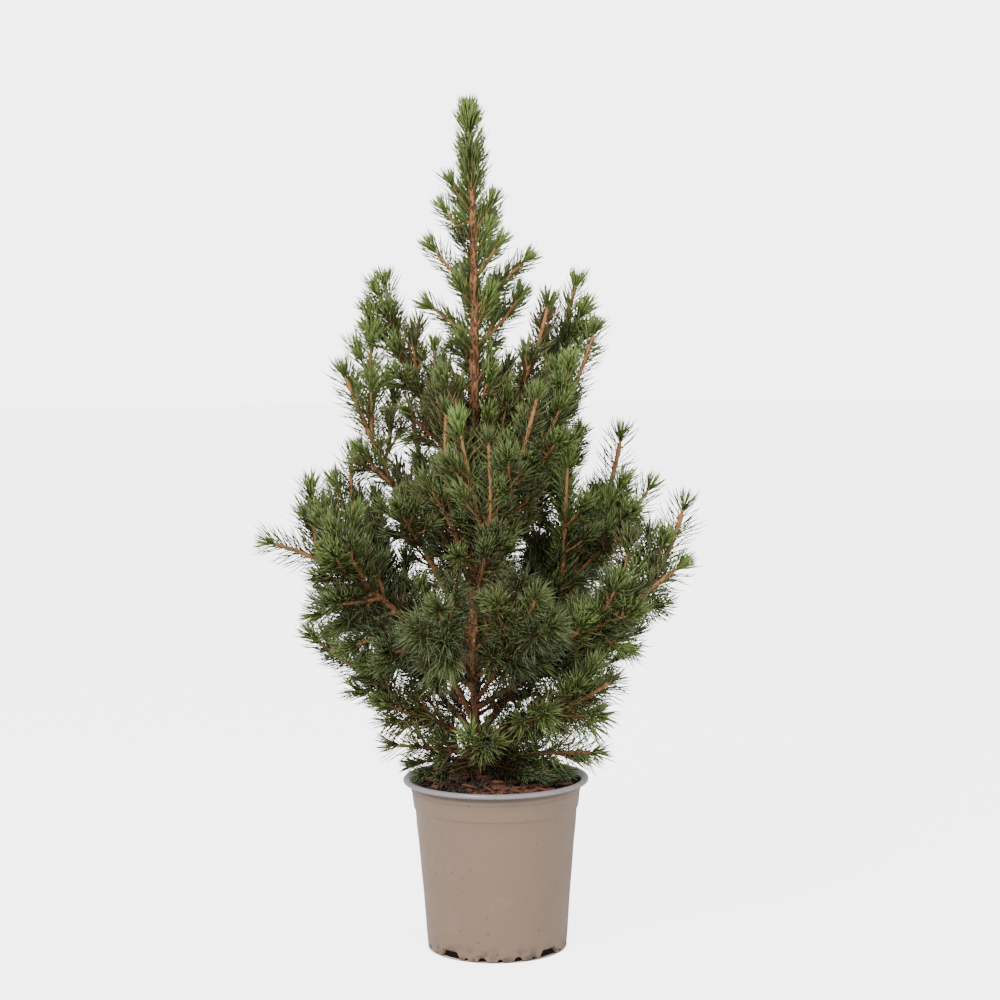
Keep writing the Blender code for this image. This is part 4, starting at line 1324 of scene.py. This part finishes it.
class SPRUCE_OT_soil(bpy.types.Operator):
    """The soil: a lumpy mound that fills the pot"""

    bl_idname = "spruce.soil"
    bl_label = "Soil"

    def execute(self, context):
        lumps = context.scene.spruce_soil.lumps
        top = [(radius, SOIL_LEVEL) for radius in np.linspace(0.0, SOIL_RADIUS, SOIL_RINGS)]

        def lumpy(grid):
            """The mound's rows take the soil's height."""
            mound = grid[-(SOIL_RINGS - 1):]
            mound[..., 2] = soil_height(mound[..., 0], mound[..., 1], lumps)
            return grid

        points, *faces = turned(np.array((*top, *SOIL_SIDE))[::-1], circle(SOIL_ANGLES), lumpy)
        points[-1, 2] = soil_height(np.zeros(1), np.zeros(1), lumps)[0]
        return add_part("soil_mound", "potting_soil", ["soil"], (points, *faces), [soil_material()])


HEAP = (0.006, -0.044)  # place of the heap of longer chips
HEAP_SPREAD = (0.012, 0.0045)
HEAP_SHARE = 0.16  # of the chips
HEAP_SIZE = (1.35, 1.2, 1.1)  # of its chips against the others

# Number of chips and of crumbs, their mean half sizes, tilt, roughness of shape, rings and sides
LITTER = {
    "bark_chips": (190, (0.0068, 0.0016, 0.0009), 0.36, 0.22, 5, 9),
    "soil_crumbs": (900, (0.0013, 0.0011, 0.0009), 0.8, 0.25, 3, 6),
}


def scattered(count, rng):
    """Places on the soil, evenly over its disc and clear of the wall and the trunk."""
    radius = (SOIL_RADIUS - 0.004) * np.sqrt(rng.uniform(0, 1, 3 * count))
    turn = rng.uniform(0, CIRCLE, 3 * count)
    place = np.stack((radius * np.cos(turn), radius * np.sin(turn)), axis=1)
    clear = np.linalg.norm(place - trunk_at(POT_HEIGHT)[:2], axis=1) > 0.008
    return place[clear][:count]


def lumps_surface(centres, sizes, turns, rng, rough, rings, sides):
    """Small closed lumps: balls scaled by three sizes, dented at random, turned and moved to their places."""
    polar = np.linspace(0, np.pi, rings + 2)[1:-1, None]
    turn = circle(sides)
    across, up = np.sin(polar), -np.cos(polar)
    ball = np.stack((across * np.cos(turn), across * np.sin(turn), up + 0 * turn), axis=-1)
    ball = np.concatenate((ball.reshape(-1, 3), ((0, 0, -1.0), (0, 0, 1.0))))
    shape = ball[None] * (1 + rng.uniform(-rough, rough, (len(centres), len(ball), 1))) * sizes[:, None, :]
    return np.einsum("nij,npj->npi", turns, shape) + centres[:, None], *ring_faces(len(centres), rings, sides)


def random_turns(count, rng, tilt):
    """Rotation matrices: any turn about the upright, then a tilt of up to this angle."""
    spin = rng.uniform(0, CIRCLE, count)
    lean = rng.normal(0, tilt, count)
    cos_s, sin_s, cos_l, sin_l = np.cos(spin), np.sin(spin), np.cos(lean), np.sin(lean)
    zero, one = np.zeros(count), np.ones(count)
    about_z = np.array(((cos_s, -sin_s, zero), (sin_s, cos_s, zero), (zero, zero, one))).transpose(2, 0, 1)
    about_x = np.array(((one, zero, zero), (zero, cos_l, -sin_l), (zero, sin_l, cos_l))).transpose(2, 0, 1)
    return about_z @ about_x


class SPRUCE_OT_litter(bpy.types.Operator):
    """Bark chips and crumbs that lie on the soil"""

    bl_idname = "spruce.litter"
    bl_label = "Chips and crumbs"

    def execute(self, context):
        rng = np.random.default_rng(5)
        for name, (count, means, tilt, rough, rings, sides) in LITTER.items():
            chips = name == "bark_chips"
            place = scattered(count, rng)
            sizes = np.stack([rng.gamma(even, mean / even, count) for even, mean in zip((6, 6, 8), means)], axis=1)
            if chips:
                heap = round(HEAP_SHARE * count)
                place[:heap] = rng.normal(HEAP, HEAP_SPREAD, (heap, 2))
                sizes[:heap] *= HEAP_SIZE
            height = soil_height(*place.T, context.scene.spruce_soil.lumps) + sizes[:, 2] * 0.7 + 0.0006
            surface = lumps_surface(np.column_stack((place, height)), sizes, random_turns(count, rng, tilt), rng,
                                    rough, rings, sides)
            plain = bpy.data.materials["potting_soil"]  # the frame's own: crumbs are too small for mottling
            add_part(name, "potting_soil", [], surface, [chip_material() if chips else plain], smooth=False)
        return {"FINISHED"}


CAMERA_PLACE = (0.0047, -1.525, 0.430)
CAMERA_PITCH = math.radians(90 - 4.35)
CAMERA_ROLL = math.radians(-0.53)
FLOOR_RINGS = (0.5, 2.0, 12.0)
FLOOR_SIDES = 64
FLOOR_LEVEL = -0.0003
WHITE = (1.0, 1.0, 1.0)
LAMP_TARGET = (0.0, 0.0, 0.28)


def add_to_scene(name, data):
    made = bpy.data.objects.new(name, data)
    bpy.context.scene.collection.objects.link(made)
    return made


def add_lamp(name, place, size, power):
    """A round lamp that faces the middle of the plant."""
    lamp = bpy.data.lights.new(name, "AREA")
    lamp.shape = "DISK"
    lamp.size = size
    lamp.energy = power
    made = add_to_scene(name, lamp)
    made.location = place
    x, y, z = np.array(LAMP_TARGET) - np.array(place)
    made.rotation_euler = (math.atan2(math.hypot(x, y), -z), 0.0, math.atan2(-x, y))


class SPRUCE_OT_stage(bpy.types.Operator):
    """A pale floor, soft light from the front and the camera"""

    bl_idname = "spruce.stage"
    bl_label = "Stage"

    def execute(self, context):
        settings = context.scene.spruce_stage
        turn = circle(FLOOR_SIDES)
        rings = np.array(FLOOR_RINGS)[:, None]
        grid = np.stack((rings * np.cos(turn), rings * np.sin(turn), FLOOR_LEVEL + 0 * rings * turn), axis=-1)
        quads, triangles = ring_faces(1, len(rings), FLOOR_SIDES)
        material, tree = new_material("floor", 0.7, Base_Color=settings.floor, Emission_Color=WHITE)
        open_floor = tree.span(tree.length(tree.place()), 0.0480, 0.0500, 0.0, settings.glow)
        finish(tree, Emission_Strength=tree.times(tree.add("LightPath"), open_floor))
        material.cycles.emission_sampling = "NONE"
        points = np.append(grid, (0, 0, FLOOR_LEVEL)).reshape(-1, 3)
        make_piece("floor", (points, quads[..., ::-1], triangles[0, :FLOOR_SIDES, ::-1]), [material])
        world = bpy.data.worlds.new("surround")
        world.use_nodes = True
        tree = Tree(world.node_tree)
        shown = tree.times(tree.add("LightPath"), settings.backdrop - settings.sky)
        surround = world.node_tree.nodes["Background"].inputs
        tree.feed(surround["Color"], WHITE)
        tree.feed(surround["Strength"], tree.math("ADD", shown, settings.sky))
        context.scene.world = world
        add_lamp("key", (-1.1, -1.9, 1.9), 1.3, settings.key)
        add_lamp("fill", (1.9, -1.3, 1.0), 1.6, settings.fill)
        camera = bpy.data.cameras.new("camera")
        camera.lens = settings.lens
        camera.sensor_width = 36.0
        viewer = add_to_scene("camera", camera)
        viewer.location = CAMERA_PLACE
        turn = Matrix.Rotation(CAMERA_PITCH, 3, "X") @ Matrix.Rotation(CAMERA_ROLL, 3, "Z")
        viewer.rotation_euler = turn.to_euler("XYZ")
        context.scene.camera = viewer
        return {"FINISHED"}


OPERATORS = (SPRUCE_OT_stage, SPRUCE_OT_pot, SPRUCE_OT_soil, SPRUCE_OT_litter, SPRUCE_OT_trunk, SPRUCE_OT_boughs,
             SPRUCE_OT_twigs, SPRUCE_OT_needles)
SETTINGS = {
    "spruce_needles": SpruceNeedles,
    "spruce_bark": SpruceBark,
    "spruce_pot": SprucePot,
    "spruce_soil": SpruceSoil,
    "spruce_stage": SpruceStage,
}


class SPRUCE_PT_panel(bpy.types.Panel):
    """Buttons that make the spruce's pieces"""

    bl_label = "Potted Dwarf Spruce"
    bl_idname = "SPRUCE_PT_panel"
    bl_space_type = "VIEW_3D"
    bl_region_type = "UI"
    bl_category = "Spruce"

    def draw(self, context):
        for operator in OPERATORS:
            self.layout.operator(operator.bl_idname)


def register():
    for kind in (*SETTINGS.values(), *OPERATORS, SPRUCE_PT_panel):
        bpy.utils.register_class(kind)
    for name, kind in SETTINGS.items():
        setattr(bpy.types.Scene, name, PointerProperty(type=kind))


def unregister():
    for name in SETTINGS:
        delattr(bpy.types.Scene, name)
    for kind in reversed((*SETTINGS.values(), *OPERATORS, SPRUCE_PT_panel)):
        bpy.utils.unregister_class(kind)


def main():
    register()
    for operator in OPERATORS:
        group, name = operator.bl_idname.split(".")
        getattr(getattr(bpy.ops, group), name)()


if __name__ == "__main__":
    main()
